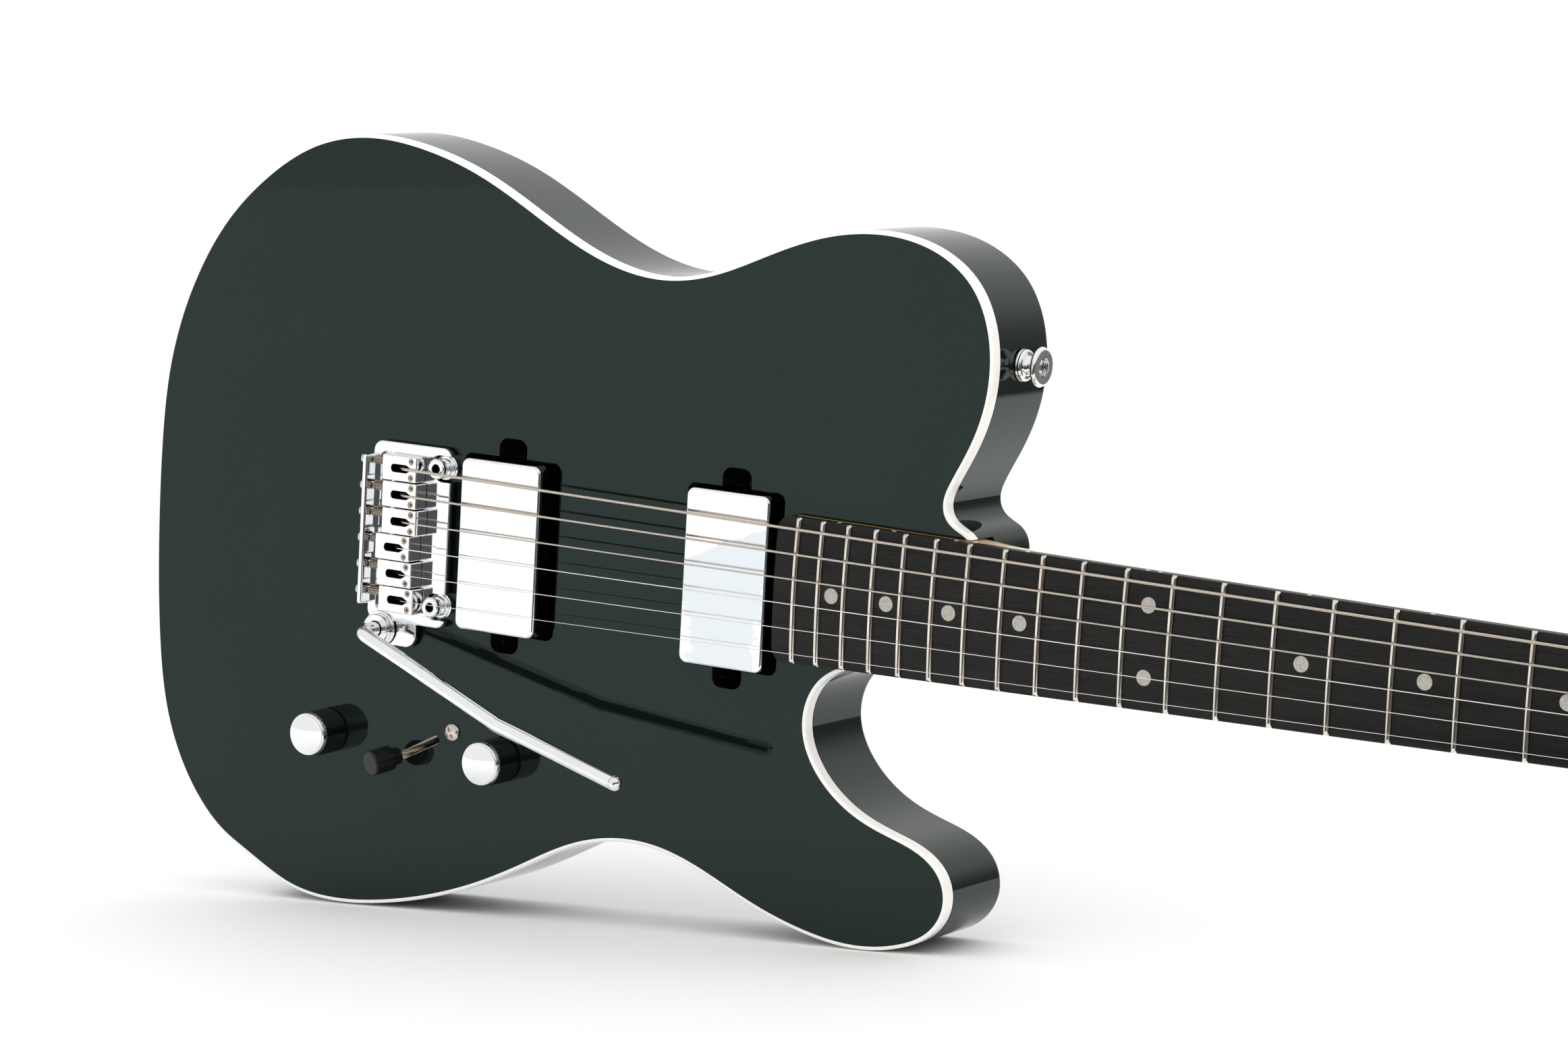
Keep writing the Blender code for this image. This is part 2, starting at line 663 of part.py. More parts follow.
def make_block():
    inertia = block("tremolo_block", (BLOCK_X[0], BLOCK_BOTTOM, -30),
                    (BLOCK_X[1], PLATE_BOTTOM - GAP, 30), "steel")
    for number in range(1, 7):
        z = string_z(number, STRING_PITCH_BRIDGE)
        rise_x = SADDLE_FRONTS[number - 1] - STRING_RISE
        cut(inertia, rod(f"block_string_hole_{number}", (rise_x, -45, z), (rise_x, 5, z), 1.8, sides=8))
    return inertia


def make_saddle(number):
    front = SADDLE_FRONTS[number - 1]
    back = front - SADDLE_LENGTH
    z = string_z(number, STRING_PITCH_BRIDGE)
    top = SADDLE_STRING_HEIGHTS[number - 1] - STRING_DIAMETERS[number - 1] / 2 - GAP
    saddle = block(f"saddle_{number}", (back, PLATE_FLOOR + GAP, z - 5.15), (front, top, z + 5.15),
                   "chrome", rounding=0.6)
    slot = rounded([(back + 4.6, z - 2.1, 1.6), (back + 12, z - 2.1, 0), (back + 14.4, z, 0),
                    (back + 12, z + 2.1, 0), (back + 4.6, z + 2.1, 1.6)], steps=3)
    cut(saddle, prism(f"saddle_slot_{number}", slot, -2, 20))
    for side in (-1, 1):
        cut(saddle, rod(f"saddle_height_hole_{number}_{side}", (front - 2.3, 6, z + side * 3.5),
                        (front - 2.3, 16, z + side * 3.5), 0.9, sides=8))
    join(saddle, rod(f"intonation_screw_{number}", (back + 2, SCREW_HEIGHT, z), (-22.6, SCREW_HEIGHT, z),
                     1.2, sides=8))
    return saddle


def make_stud(name, z):
    profile = ((0, 7.3), (3.8, 7.3), (4.7, 6.7), (4.7, 4.9), (3.5, 4.0), (3.5, 2.6), (4.7, 2.0),
               (4.7, 0.5), (4.2, 0.3), (4.2, -20), (0, -20))
    stud = turned(name, (PIVOT[0], 0, z), (0, 1, 0), profile, "chrome", sides=14)
    cut(stud, rod(f"{name}_key", (PIVOT[0], 3.5, z), (PIVOT[0], 10, z), 2.0, sides=6))


def make_arm():
    root = arm_point(1.7)
    corners = [root, arm_point(18.5), (66.7, 36.3, -64.5), (138, 55.2, -76)]
    path = bent_path(corners, 7.0)
    return tube("tremolo_arm", path, ARM_RADIUS, "chrome", resolution=2)


def make_claw():
    claw = prism("spring_claw", rectangle(CLAW_X, CLAW_X + 2, -25, 25, 0.4, steps=1), -41, -29.5, "steel")
    for side in (-1, 1):
        z = side * CLAW_SCREW_Z
        join(claw, rod(f"claw_screw_{side}", (CLAW_X - 2.5, -35, z), (122, -35, z), 2.0, sides=8),
             rod(f"claw_screw_head_{side}", (CLAW_X - 3, -35, z), (CLAW_X + 1, -35, z), 3.6, sides=8))


def make_spring(number, z):
    start, end = BLOCK_X[1] + GAP, CLAW_X - GAP
    turns, per_turn, radius = 8, 6, 3.2
    path = [(start, SPRING_HEIGHT, z), (start + 3, SPRING_HEIGHT, z)]
    count = turns * per_turn
    for step in range(count + 1):
        turn = 2 * pi * step / per_turn
        x = start + 6 + (end - start - 12) * step / count
        path.append((x, SPRING_HEIGHT + radius * sin(turn), z + radius * cos(turn)))
    path += [(end - 3, SPRING_HEIGHT, z), (end, SPRING_HEIGHT, z)]
    return tube(f"tremolo_spring_{number}", path, 0.6, "steel", resolution=0)


def make_tremolo():
    pivot = new_empty("tremolo_pivot", (*PIVOT, 0), guitar)
    ride(pivot, make_plate(), make_block(), *[make_saddle(number) for number in range(1, 7)])
    arm_pivot = new_empty("arm_pivot", arm_point(0), guitar)
    ride(arm_pivot, make_arm())
    ride(pivot, arm_pivot)
    make_stud("bass_pivot_stud", STUD_Z)
    make_stud("treble_pivot_stud", -STUD_Z)
    make_claw()
    for number, z in enumerate(SPRING_Z, 1):
        make_spring(number, z)


# ---------------------------------------------------------------- controls and small hardware

def make_pot(name, x, z):
    bore = KNOB_SHAFT_RADIUS + GAP
    floor = -TOP_THICKNESS - GAP
    profile = ((0, -14), (bore, -14), (bore, 0.5), (4.6, 0.5), (4.6, floor), (12, floor),
               (12, floor - 9), (0, floor - 9))
    turned(f"{name}_pot", (x, 0, z), (0, 1, 0), profile, "steel", sides=16)


def make_knob(name, x, z):
    pivot = new_empty(f"{name}_knob_pivot", (x, 0, z), guitar)
    profile = ((0, 17.3), (5.5, 16.8), (8.2, 15.6), (KNOB_RADIUS, 14.4), (KNOB_RADIUS, 0.8), (7.6, 0.8),
               (7.6, 4.5), (KNOB_SHAFT_RADIUS, 4.5), (KNOB_SHAFT_RADIUS, -13.5), (0, -13.5))
    ride(pivot, turned(f"{name}_knob", (x, 0, z), (0, 1, 0), profile, "chrome", sides=20))


def make_switch():
    roof = -TOP_THICKNESS - GAP
    frame = block("switch_frame", (-22, -24, -5.5), (22, roof, 5.5), "steel", parent=switch_mount)
    cut(frame, block("lever_window", (-15, -22, -2.2), (15, 0, 2.2), parent=switch_mount))
    for side in (-1, 1):
        head = turned(f"switch_screw_{side}", (side * SWITCH_SCREW_X, 0, 0), (0, 1, 0),
                      ((0, 1.9), (1.7, 1.6), (3.2, 0.9), (3.6, 0.3), (1.4, 0.3), (1.4, -9), (0, -9)),
                      parent=switch_mount, sides=8)
        join(frame, head)
    pivot = new_empty("switch_pivot", (0, SWITCH_PIVOT, 0), switch_mount, (0, 0, -SWITCH_LEAN))
    lever = block("switch_lever", (-2, -3, -0.9), (2, 24, 0.9), "steel", parent=pivot)
    profile = ((0, 34.6), (4.3, 34.6), (5.2, 33.8), (5.2, 25.2), (4.2, 23.8), (3.6, 23.5),
               (3.6, 20.6), (0, 20.6))
    join(lever, turned("switch_tip", (0, 0, 0), (0, 1, 0), profile, parent=pivot, sides=14))


def make_jack():
    plate = block("output_jack", (-15, -17, -2.3), (15, 17, -GAP), "chrome", parent=jack_mount,
                  rounding=0.8)
    barrel = ((0, 4.2), (5.2, 4.2), (6.6, 3.6), (6.6, 2.0), (4.8, 2.0), (4.8, -24), (0, -24))
    join(plate, turned("jack_barrel", (0, 0, 0), (0, 0, -1), barrel, parent=jack_mount, sides=14))
    cut(plate, rod("jack_bore", (0, 0, -8), (0, 0, 22), 3.25, parent=jack_mount))


def make_strap_button(name, base, axis):
    profile = ((0, 9.8), (6.0, 9.8), (8, 8.6), (8, 7.4), (5.4, 6.2), (3.6, 3.8), (5.4, GAP),
               (STRAP_SCREW_RADIUS, GAP), (STRAP_SCREW_RADIUS, -22), (0, -24))
    turned(name, base, axis, profile, "chrome", sides=16)


def make_covers():
    for name, outline in (("spring_cover", SPRING_COVER), ("control_cover", CONTROL_COVER)):
        prism(name, rectangle(*outline), -BODY_DEPTH, -BODY_DEPTH + COVER_THICKNESS, "black_plastic")


# ---------------------------------------------------------------- tuners

def post_position(number):
    """Post centre on the headstock, so that each string runs straight to its inner side."""
    x = FIRST_POST + (6 - number) * POST_STEP
    spread = (STRING_PITCH_BRIDGE - STRING_PITCH_NUT) / SCALE
    z = string_z(number, STRING_PITCH_NUT - spread * x)
    return x, z + POST_RADIUS + GAP + STRING_DIAMETERS[number - 1] / 2


def tuner_line_turn():
    x_low, z_low = post_position(6)
    x_high, z_high = post_position(1)
    return atan2(z_low - z_high, x_high - x_low)


def make_tuner(number, mount):
    back = -HEADSTOCK_THICKNESS - GAP
    housing = block(f"tuner_housing_{number}", (-7.6, back - 9, -8), (12, back, 8), "chrome",
                    parent=mount, rounding=1.2)
    bush = turned(f"tuner_bush_{number}", (0, 0, 0), (0, 1, 0),
                  ((0, 2.6), (5.4, 2.6), (7.0, 1.7), (7.0, GAP), (4.9, GAP), (4.9, back - 1),
                   (0, back - 1)), parent=mount)
    join(housing, bush)
    gear_low, gear_high = WORM_HEIGHT - 1.3, WORM_HEIGHT + 1.3
    cut(housing,
        rod(f"post_bore_{number}", (0, 5, 0), (0, gear_high, 0), POST_RADIUS + 0.4, parent=mount),
        rod(f"gear_room_{number}", (0, gear_high + 0.5, 0), (0, gear_low - 0.5, 0), 5.5, parent=mount),
        rod(f"worm_bore_{number}", (WORM_X, WORM_HEIGHT, -6.3), (WORM_X, WORM_HEIGHT, 12), 2.75,
            parent=mount, sides=8))
    post_pivot = new_empty(f"post_pivot_{number}", (0, 0, 0), mount)
    waist = POST_RADIUS - 0.5
    post = ((0, POST_TOP), (2.6, POST_TOP), (POST_RADIUS, POST_TOP - 0.6), (POST_RADIUS, POST_TOP - 3),
            (waist, POST_TOP - 4.5), (waist, POST_TOP - 8.5), (POST_RADIUS, POST_TOP - 10),
            (POST_RADIUS, gear_high), (5.0, gear_high), (5.0, gear_low), (0, gear_low))
    turned(f"tuner_post_{number}", (0, 0, 0), (0, 1, 0), post, "chrome", parent=post_pivot, sides=10)
    make_tuner_button(number, mount)


def make_tuner_button(number, mount):
    pivot = new_empty(f"button_pivot_{number}", (WORM_X, WORM_HEIGHT, 0), mount)
    shaft = rod(f"tuner_button_{number}", (0, 0, -5.9), (0, 0, 18), 2.3, "chrome", parent=pivot, sides=8)
    bm = bmesh.new()
    bmesh.ops.create_uvsphere(bm, u_segments=10, v_segments=6, radius=1.0)
    bmesh.ops.scale(bm, vec=(8.6 * MM, 4.0 * MM, 7.6 * MM), verts=bm.verts)
    head = mesh_from("button_head", bm)
    knob = add_object(f"button_head_{number}", head, None, pivot, point(0, 0, 22.5))
    join(shaft, knob)


# ---------------------------------------------------------------- the guitar

def stand_up():
    """Turns the guitar on to its treble edge and puts the origin under the middle of its box."""
    guitar.rotation_euler = (0, STANDING_TILT, 0)
    bpy.context.view_layer.update()
    graph = bpy.context.evaluated_depsgraph_get()
    low, high = np.full(3, np.inf), np.full(3, -np.inf)
    for obj in parts.objects:
        if obj.type == "EMPTY":
            continue
        evaluated = obj.evaluated_get(graph)
        mesh = evaluated.to_mesh()
        for vertex in mesh.vertices:
            corner = np.array(evaluated.matrix_world @ vertex.co)
            low, high = np.minimum(low, corner), np.maximum(high, corner)
        evaluated.to_mesh_clear()
    guitar.location = (-(low[0] + high[0]) / 2, -(low[1] + high[1]) / 2, -low[2])


clear_scene()
parts = new_collection("electric_guitar")
helpers = new_collection("cutters_and_additions")
guitar = new_empty("guitar", (0, 0, 0))
headstock = new_empty("headstock", (NUT_FRONT, BOARD_BOTTOM - GAP, 0), guitar, (0, 0, HEADSTOCK_ANGLE))
switch_mount = new_empty("switch_mount", (SWITCH_CENTRE[0], 0, SWITCH_CENTRE[1]), guitar,
                         (0, SWITCH_ANGLE, 0))
jack_mount = new_empty("jack_mount", (JACK_CENTRE[0], -BODY_DEPTH / 2, JACK_CENTRE[1]), guitar,
                       (0, JACK_ANGLE, 0))
tuner_mounts = {}
for string_number in range(1, 7):
    place_x, place_z = post_position(string_number)
    mount_name = f"tuner_mount_{string_number}"
    tuner_mounts[string_number] = new_empty(mount_name, (place_x, 0, place_z), headstock,
                                            (0, tuner_line_turn(), 0))
body_curve = closed_spline(BODY_OUTLINE, OUTLINE_STEPS)

make_body()
make_binding()
make_neck()
make_fingerboard()
make_nut()
make_neck_plate()
for pickup_name, (pickup_x, pickup_top, _) in PICKUPS.items():
    make_pickup(pickup_name, pickup_x, pickup_top)
make_tremolo()
for knob_name, (knob_x, knob_z) in KNOBS.items():
    make_pot(knob_name, knob_x, knob_z)
    make_knob(knob_name, knob_x, knob_z)
make_switch()
make_jack()
make_strap_button("upper_strap_button", UPPER_STRAP_BUTTON, (1, 0, 0))
make_strap_button("lower_strap_button", LOWER_STRAP_BUTTON, (-1, 0, 0))
make_covers()
for string_number, tuner_mount in tuner_mounts.items():
    make_tuner(string_number, tuner_mount)
    make_string(string_number)
stand_up()
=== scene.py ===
"""The looks of the electric guitar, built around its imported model.

Shapes are worked out in millimetres in the guitar's own frame: x runs along the strings from the
saddle line to the nut, h is the height above the body's front face (the back is below it) and z
runs across the strings to the bass side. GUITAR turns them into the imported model's frame.
"""

import json
from math import atan2, cos, pi, radians, sin, sqrt, tan

import bmesh
import bpy
import numpy as np
from mathutils import Matrix, Vector


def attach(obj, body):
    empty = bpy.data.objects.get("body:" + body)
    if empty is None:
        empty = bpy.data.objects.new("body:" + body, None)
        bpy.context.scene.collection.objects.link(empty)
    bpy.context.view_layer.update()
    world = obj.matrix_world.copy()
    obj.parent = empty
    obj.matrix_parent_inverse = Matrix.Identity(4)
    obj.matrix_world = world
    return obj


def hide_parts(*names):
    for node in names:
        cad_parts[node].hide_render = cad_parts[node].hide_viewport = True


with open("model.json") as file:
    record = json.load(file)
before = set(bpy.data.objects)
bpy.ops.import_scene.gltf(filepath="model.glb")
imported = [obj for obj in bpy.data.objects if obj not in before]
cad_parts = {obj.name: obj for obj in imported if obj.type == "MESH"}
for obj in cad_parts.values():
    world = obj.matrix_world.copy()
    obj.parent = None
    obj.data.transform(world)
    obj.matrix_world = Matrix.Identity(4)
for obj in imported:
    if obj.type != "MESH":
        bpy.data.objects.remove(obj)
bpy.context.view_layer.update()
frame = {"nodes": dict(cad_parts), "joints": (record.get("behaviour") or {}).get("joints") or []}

MM = 0.001

# The guitar's frame: its tremolo's hinge line runs across the strings at this x and h.
HINGE = (11.3, 3.0)

# Camera: where it stands, the point of the body's face in the middle of its view, and its roll
CAMERA_PLACE = (1148.0, 1596.9, 271.1)
CAMERA_AIM = (171.4, 0.0, 21.7)
CAMERA_ROLL = radians(-0.95)
CAMERA_LENS = 112.8

# Neck and strings
SCALE = 648.0
FRETS = 22
LAST_FRET_WIDTH = 56.55
NUT_WIDTH = 42.0
BOARD_RADIUS = 305.0
BOARD_TOP = 7.2
BOARD_BOTTOM = 1.6
BOARD_END = 172.5
BOARD_CORNER = 5.0
FRET_WIDTH = 2.3
FRET_HEIGHT = 1.2
DOT_FRETS = (3, 5, 7, 9, 15, 17, 19, 21)
DOT_RADIUS = 3.0
DOUBLE_DOT_Z = 13.5
HEEL_END = 178.0
HEEL_DEPTH = 17.3
NUT_FRONT = SCALE + 5.0
STRING_DIAMETERS = (0.254, 0.330, 0.432, 0.660, 0.914, 1.168)
STRING_PITCH_BRIDGE = 10.66
STRING_PITCH_NUT = 6.98
SADDLE_STRING_HEIGHTS = (10.4, 10.9, 11.4, 11.4, 10.9, 10.4)
STRING_RISE = 9.8

# Body
BODY_DEPTH = 44.0
BACK_ROUND = 3.0
BINDING_WIDTH = 1.5
BINDING_DEPTH = 5.3
BINDING_ROUND = 0.9
SEAM = 0.15
ROUT_DEPTH = 22.0
TOP_THICKNESS = 6.0
SPRING_ROOF = 27.0
COVER_RECESS = 41.5

# Pickups
COVER_WALL = 1.0
MOUNT_SCREW_Z = 38.6

# Tremolo
SADDLE_LENGTH = 17.0
SCREW_HEIGHT = 7.0
INTONATION_SHIFT = 2.0
HEX_SCREW_SPREAD = 3.3
HEX_SCREW_INSET = 2.6
PLATE_FLOOR = 2.9
PLATE_RIM = 4.3
LIP_X = (-21.8, -19.4)
CLAW_X = 93.0
ARM_RADIUS = 3.0
ARM_CORNER = 18.5
ARM_BEND = (66.7, 36.3, -64.5)
ARM_END = (138.0, 55.2, -76.0)

# Strap buttons: where their bases sit on the body
STRAP_UPPER_X = 258.9
STRAP_LOWER_X = -135.6

# Controls. The roof is the level under the body's top that the switch and the pots are screwed to.
CONTROL_ROOF = -TOP_THICKNESS - 0.3
SWITCH_ANGLE = radians(-28.0)
SWITCH_LEAN = radians(22.3)
SWITCH_PIVOT = -14.0
SWITCH_SLOT = (-10.4, 10.4, -1.7, 1.7)
SWITCH_SCREW_X = 17.85
KNURL_TOP = 14.0
KNOB_SIDES = 88
JACK_ANGLE = radians(28.0)
JACK_PLACE = (-83.7, -22.0, -142.6)

# Headstock
HEADSTOCK_ANGLE = radians(11.0)
HEADSTOCK_THICKNESS = 14.0
FIRST_POST = 30.0
POST_STEP = 24.5
POST_RADIUS = 3.0
WORM_PLACE = (7.9, -18.8)
CASE_DEPTH = 9.0

# Studio, in metres where it is a place: the light from above and from the white walls, and what
# mirrors show of the dark side of the room
SKY_LIGHT = 0.95
WALL_LIGHT = 0.95
DARK_LIGHT = 0.06
BACK_LIGHT = 0.10
DARK_SIDE = (0.97, -0.10, 0.0)
DARK_TOP = 0.45
FLOOR_REACH = 14.0
# Where the floor's colour is painted dark for mirrored rays only: a painted reflection of a dark room
RIGHT_PAINTED_REFLECTION_EDGE = 0.21
NEAR_PAINTED_REFLECTION_EDGES = (-0.19, -0.23)
SENSOR_WIDTH = 36.0


# ---------------------------------------------------------------- the frame

def guitar_matrix():
    """The guitar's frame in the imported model's, from the tremolo's hinge."""
    hinge = next(joint for joint in frame["joints"] if joint["name"] == "tremolo_hinge")
    across = Vector(hinge["axis"]).normalized()
    down = Vector((0.0, 1.0, 0.0))
    along = down.cross(across)
    turn = Matrix((along, down, across)).transposed()
    origin = Vector(hinge["pos_m"]) - turn @ to_metres((*HINGE, 0.0))
    return Matrix.Translation(origin) @ turn.to_4x4()


def to_metres(point):
    x, h, z = point
    return Vector((x, -h, z)) * MM


def placed(point, angle, axis):
    """A matrix that turns about an axis and then moves to an (x, h, z) point."""
    return Matrix.Translation(to_metres(point)) @ Matrix.Rotation(angle, 4, axis)


def node_points(name):
    """A CAD node's corners as rows of (x, h, z) in millimetres."""
    back = np.array(GUITAR.inverted())
    corners = np.array([vertex.co for vertex in frame["nodes"][name].data.vertices], float)
    local = (corners @ back[:3, :3].T + back[:3, 3]) / MM
    return local * (1.0, -1.0, 1.0)


def span(name):
    """A CAD node's lowest and highest (x, h, z) in the guitar's frame."""
    corners = node_points(name)
    return corners.min(axis=0), corners.max(axis=0)


def middle(name):
    """The middle of a CAD node's box."""
    low, high = span(name)
    return (low + high) / 2


def joint_place(name):
    joint = next(joint for joint in frame["joints"] if joint["name"] == name)
    x, y, z = (GUITAR.inverted() @ Vector(joint["pos_m"])) / MM
    return x, -y, z


def body_outline():
    """The body's edge, read from the ring of corners where the side meets the back's rounding."""
    corners = node_points("body_shell")
    level = -BODY_DEPTH + BACK_ROUND
    on_ring = np.abs(corners[:, 1] - level) < 0.02
    keys = [tuple(np.round(corner[[0, 2]], 2)) for corner in corners]
    links = {}
    for edge in frame["nodes"]["body_shell"].data.edges:
        first, second = edge.vertices
        if on_ring[first] and on_ring[second] and keys[first] != keys[second]:
            links.setdefault(keys[first], set()).add(keys[second])
            links.setdefault(keys[second], set()).add(keys[first])
    start = min(links)
    ring = [start, max(links[start], key=lambda key: key[1])]
    while True:
        ahead = [key for key in links[ring[-1]] if key != ring[-2]]
        if not ahead or ahead[0] == start:
            break
        ring.append(ahead[0])
    return np.array(ring)


# ---------------------------------------------------------------- curves

def closed_spline(points, steps):
    """A smooth closed curve through the points: a periodic cubic spline over chord length."""
    knots = np.array(points, float)
    count = len(knots)
    ahead = np.roll(knots, -1, axis=0) - knots
    length = np.linalg.norm(ahead, axis=1)
    matrix = np.zeros((count, count))
    for i in range(count):
        matrix[i, i - 1] = length[i - 1]
        matrix[i, i] = 2 * (length[i - 1] + length[i])
        matrix[i, (i + 1) % count] = length[i]
    slope = ahead / length[:, None]
    bend = np.linalg.solve(matrix, 6 * (slope - np.roll(slope, 1, axis=0)))
    curve = []
    for i in range(count):
        after = (i + 1) % count
        for step in range(steps):
            b = step / steps
            a = 1 - b
            lift = (a ** 3 - a) * bend[i] + (b ** 3 - b) * bend[after]
            curve.append(a * knots[i] + b * knots[after] + lift * length[i] ** 2 / 6)
    return np.array(curve)


def inset(curve, distance):
    """The closed curve of (x, z) points moved inwards along its normals."""
    along = np.roll(curve, -1, axis=0) - np.roll(curve, 1, axis=0)
    along /= np.linalg.norm(along, axis=1)[:, None]
    area = np.sum(curve[:, 0] * np.roll(curve[:, 1], -1) - np.roll(curve[:, 0], -1) * curve[:, 1])
    inward = np.column_stack((-along[:, 1], along[:, 0])) * np.sign(area)
    return curve + inward * distance


def rounded(corners, steps=6):
    """A polygon of (x, z, radius) corners, each corner an arc."""
    outline = []
    for i, (x, z, radius) in enumerate(corners):
        if radius == 0:
            outline.append((x, z))
            continue
        here = Vector((x, z))
        before = (Vector(corners[i - 1][:2]) - here).normalized()
        after = (Vector(corners[(i + 1) % len(corners)][:2]) - here).normalized()
        half = before.angle(after) / 2
        centre = here + (before + after).normalized() * (radius / sin(half))
        first = here + before * (radius / tan(half)) - centre
        last = here + after * (radius / tan(half)) - centre
        start = atan2(first.y, first.x)
        sweep = (atan2(last.y, last.x) - start + pi) % (2 * pi) - pi
        for step in range(steps + 1):
            turn = start + sweep * step / steps
            outline.append((centre.x + radius * cos(turn), centre.y + radius * sin(turn)))
    return np.array(outline)


def rectangle(x_low, x_high, z_low, z_high, radius, steps=6):
    corners = ((x_low, z_low), (x_high, z_low), (x_high, z_high), (x_low, z_high))
    return rounded([(x, z, radius) for x, z in corners], steps)


def box_outline(low, high, radius, margin=0.0, steps=6):
    """The rounded outline of a box from low to high, seen from the front, with a margin round it."""
    return rectangle(low[0] - margin, high[0] + margin, low[2] - margin, high[2] + margin, radius, steps)


def arc(centre_r, centre_h, radius, start, end, steps=6):
    """Points of an arc in a turned profile, angles in degrees from the r axis towards +h."""
    turns = np.radians(np.linspace(start, end, steps + 1))
    return [(centre_r + radius * cos(turn), centre_h + radius * sin(turn)) for turn in turns]


def bent_path(corners, radius, steps=12):
    """A path of (x, h, z) points whose inner corners are rounded."""
    path = [np.array(corners[0], float)]
    for before, here, after in zip(corners, corners[1:], corners[2:]):
        before, here, after = Vector(before), Vector(here), Vector(after)
        back = (before - here).normalized()
        on = (after - here).normalized()
        reach = radius / tan(back.angle(on) / 2)
        start, end = here + back * reach, here + on * reach
        for t in np.linspace(0, 1, steps + 1):
            path.append(np.array(start * (1 - t) ** 2 + here * (2 * t * (1 - t)) + end * t ** 2))
    path.append(np.array(corners[-1], float))
    return path


# ---------------------------------------------------------------- shapes: (points, faces) in millimetres

def skin(rings, closed=False):
    """Quads over rings of (x, h, z) points, capped at both ends or joined end to end."""
    count, size = len(rings), len(rings[0])
    points = np.concatenate([np.asarray(ring, float) for ring in rings])
    faces = []
    for row in range(count if closed else count - 1):
        after = (row + 1) % count
        for i in range(size):
            k = (i + 1) % size
            faces.append((row * size + i, row * size + k, after * size + k, after * size + i))
    if not closed:
        faces.append(tuple(range(size)))
        faces.append(tuple(range((count - 1) * size, count * size)))
    return points, faces


def merge(*shapes):
    points, faces, start = [], [], 0
    for corners, polygons in shapes:
        points.append(corners)
        faces += [tuple(i + start for i in polygon) for polygon in polygons]
        start += len(corners)
    return np.concatenate(points), faces


def level(outline, h):
    outline = np.asarray(outline)
    return np.column_stack((outline[:, 0], np.full(len(outline), h), outline[:, 1]))


def slab(outline, low, high, top=0.0, bottom=0.0, steps=4):
    """An outline made solid between two heights, its edges rounded by the radii top and bottom."""
    outline = np.asarray(outline, float)
    rings = []
    for turn in np.linspace(0, pi / 2, steps + 1) if bottom else ():
        rings.append(level(inset(outline, bottom * (1 - sin(turn))), low + bottom * (1 - cos(turn))))
    if not bottom:
        rings.append(level(outline, low))
    if not top:
        rings.append(level(outline, high))
    for turn in np.linspace(0, pi / 2, steps + 1) if top else ():
        rings.append(level(inset(outline, top * (1 - cos(turn))), high - top * (1 - sin(turn))))
    return skin(rings)


def turned(profile, base=(0, 0, 0), axis=(0, 1, 0), sides=48):
    """A profile of (radius, height) points turned about axis.

    It starts and ends on the axis, or is a loop clear of it.
    """
    turns = np.arange(sides) * 2 * pi / sides
    circle = np.column_stack((np.cos(turns), np.sin(turns)))
    points, rows = [], []
    for radius, height in profile:
        if radius < 1e-6:
            rows.append([len(points)])
            points.append((0.0, height, 0.0))
        else:
            rows.append(list(range(len(points), len(points) + sides)))
            points += [(radius * c, height, radius * s) for c, s in circle]
    faces = []
    around = rows[1:] + ([rows[0]] if len(rows[0]) > 1 else [])
    for first, second in zip(rows, around):
        for i in range(sides):
            k = (i + 1) % sides
            if len(first) == 1:
                faces.append((first[0], second[i], second[k]))
            elif len(second) == 1:
                faces.append((first[i], first[k], second[0]))
            else:
                faces.append((first[i], first[k], second[k], second[i]))
    return aim((np.array(points), faces), base, axis)


def aim(shape, base, axis):
    """Turns a shape's own h axis to another axis and puts its origin at base."""
    points, faces = shape
    up = Vector(axis).normalized()
    side = Vector((1, 0, 0)) if abs(up.x) < 0.9 else Vector((0, 0, 1))
    side = (side - up * side.dot(up)).normalized()
    third = up.cross(side)
    basis = np.array((side, up, third))
    return points @ basis + np.array(base, float), faces


def rod(start, end, radius, sides=24):
    start, end = Vector(start), Vector(end)
    length = (end - start).length
    return turned([(0, length), (radius, length), (radius, 0), (0, 0)], start, end - start, sides)


def sweep(path, radii, sides=16):
    """A round bar along a path of (x, h, z) points; radii is one radius or one for each point."""
    path = [Vector(point) for point in path]
    radii = np.broadcast_to(radii, len(path))
    last = len(path) - 1
    along = [(path[min(i + 1, last)] - path[max(i - 1, 0)]).normalized() for i in range(len(path))]
    side = along[0].orthogonal().normalized()
    rings = []
    for i, (point, direction) in enumerate(zip(path, along)):
        if i:
            side = along[i - 1].rotation_difference(direction) @ side
        third = direction.cross(side)
        ring = []
        for turn in np.arange(sides) * 2 * pi / sides:
            ring.append(point + (side * cos(turn) + third * sin(turn)) * radii[i])
        rings.append(np.array(ring))
    return skin(rings)


def coil(start, end, radius, wire, turns, per_turn=20, sides=8):
    """A helical spring between two points."""
    start, end = Vector(start), Vector(end)
    along = (end - start).normalized()
    side = along.orthogonal().normalized()
    third = along.cross(side)
    path = []
    for t in np.linspace(0, 1, int(turns * per_turn) + 1):
        turn = 2 * pi * turns * t
        path.append(start + (end - start) * t + (side * cos(turn) + third * sin(turn)) * radius)
    return sweep(path, wire, sides)


def new_object(name, shape):
    points, faces = shape
    bm = bmesh.new()
    corners = [bm.verts.new(to_metres(point)) for point in points]
    for face in faces:
        bm.faces.new([corners[i] for i in face])
    bmesh.ops.recalc_face_normals(bm, faces=bm.faces)
    mesh = bpy.data.meshes.new(name)
    bm.to_mesh(mesh)
    bm.free()
    obj = bpy.data.objects.new(name, mesh)
    bpy.context.scene.collection.objects.link(obj)
    return obj


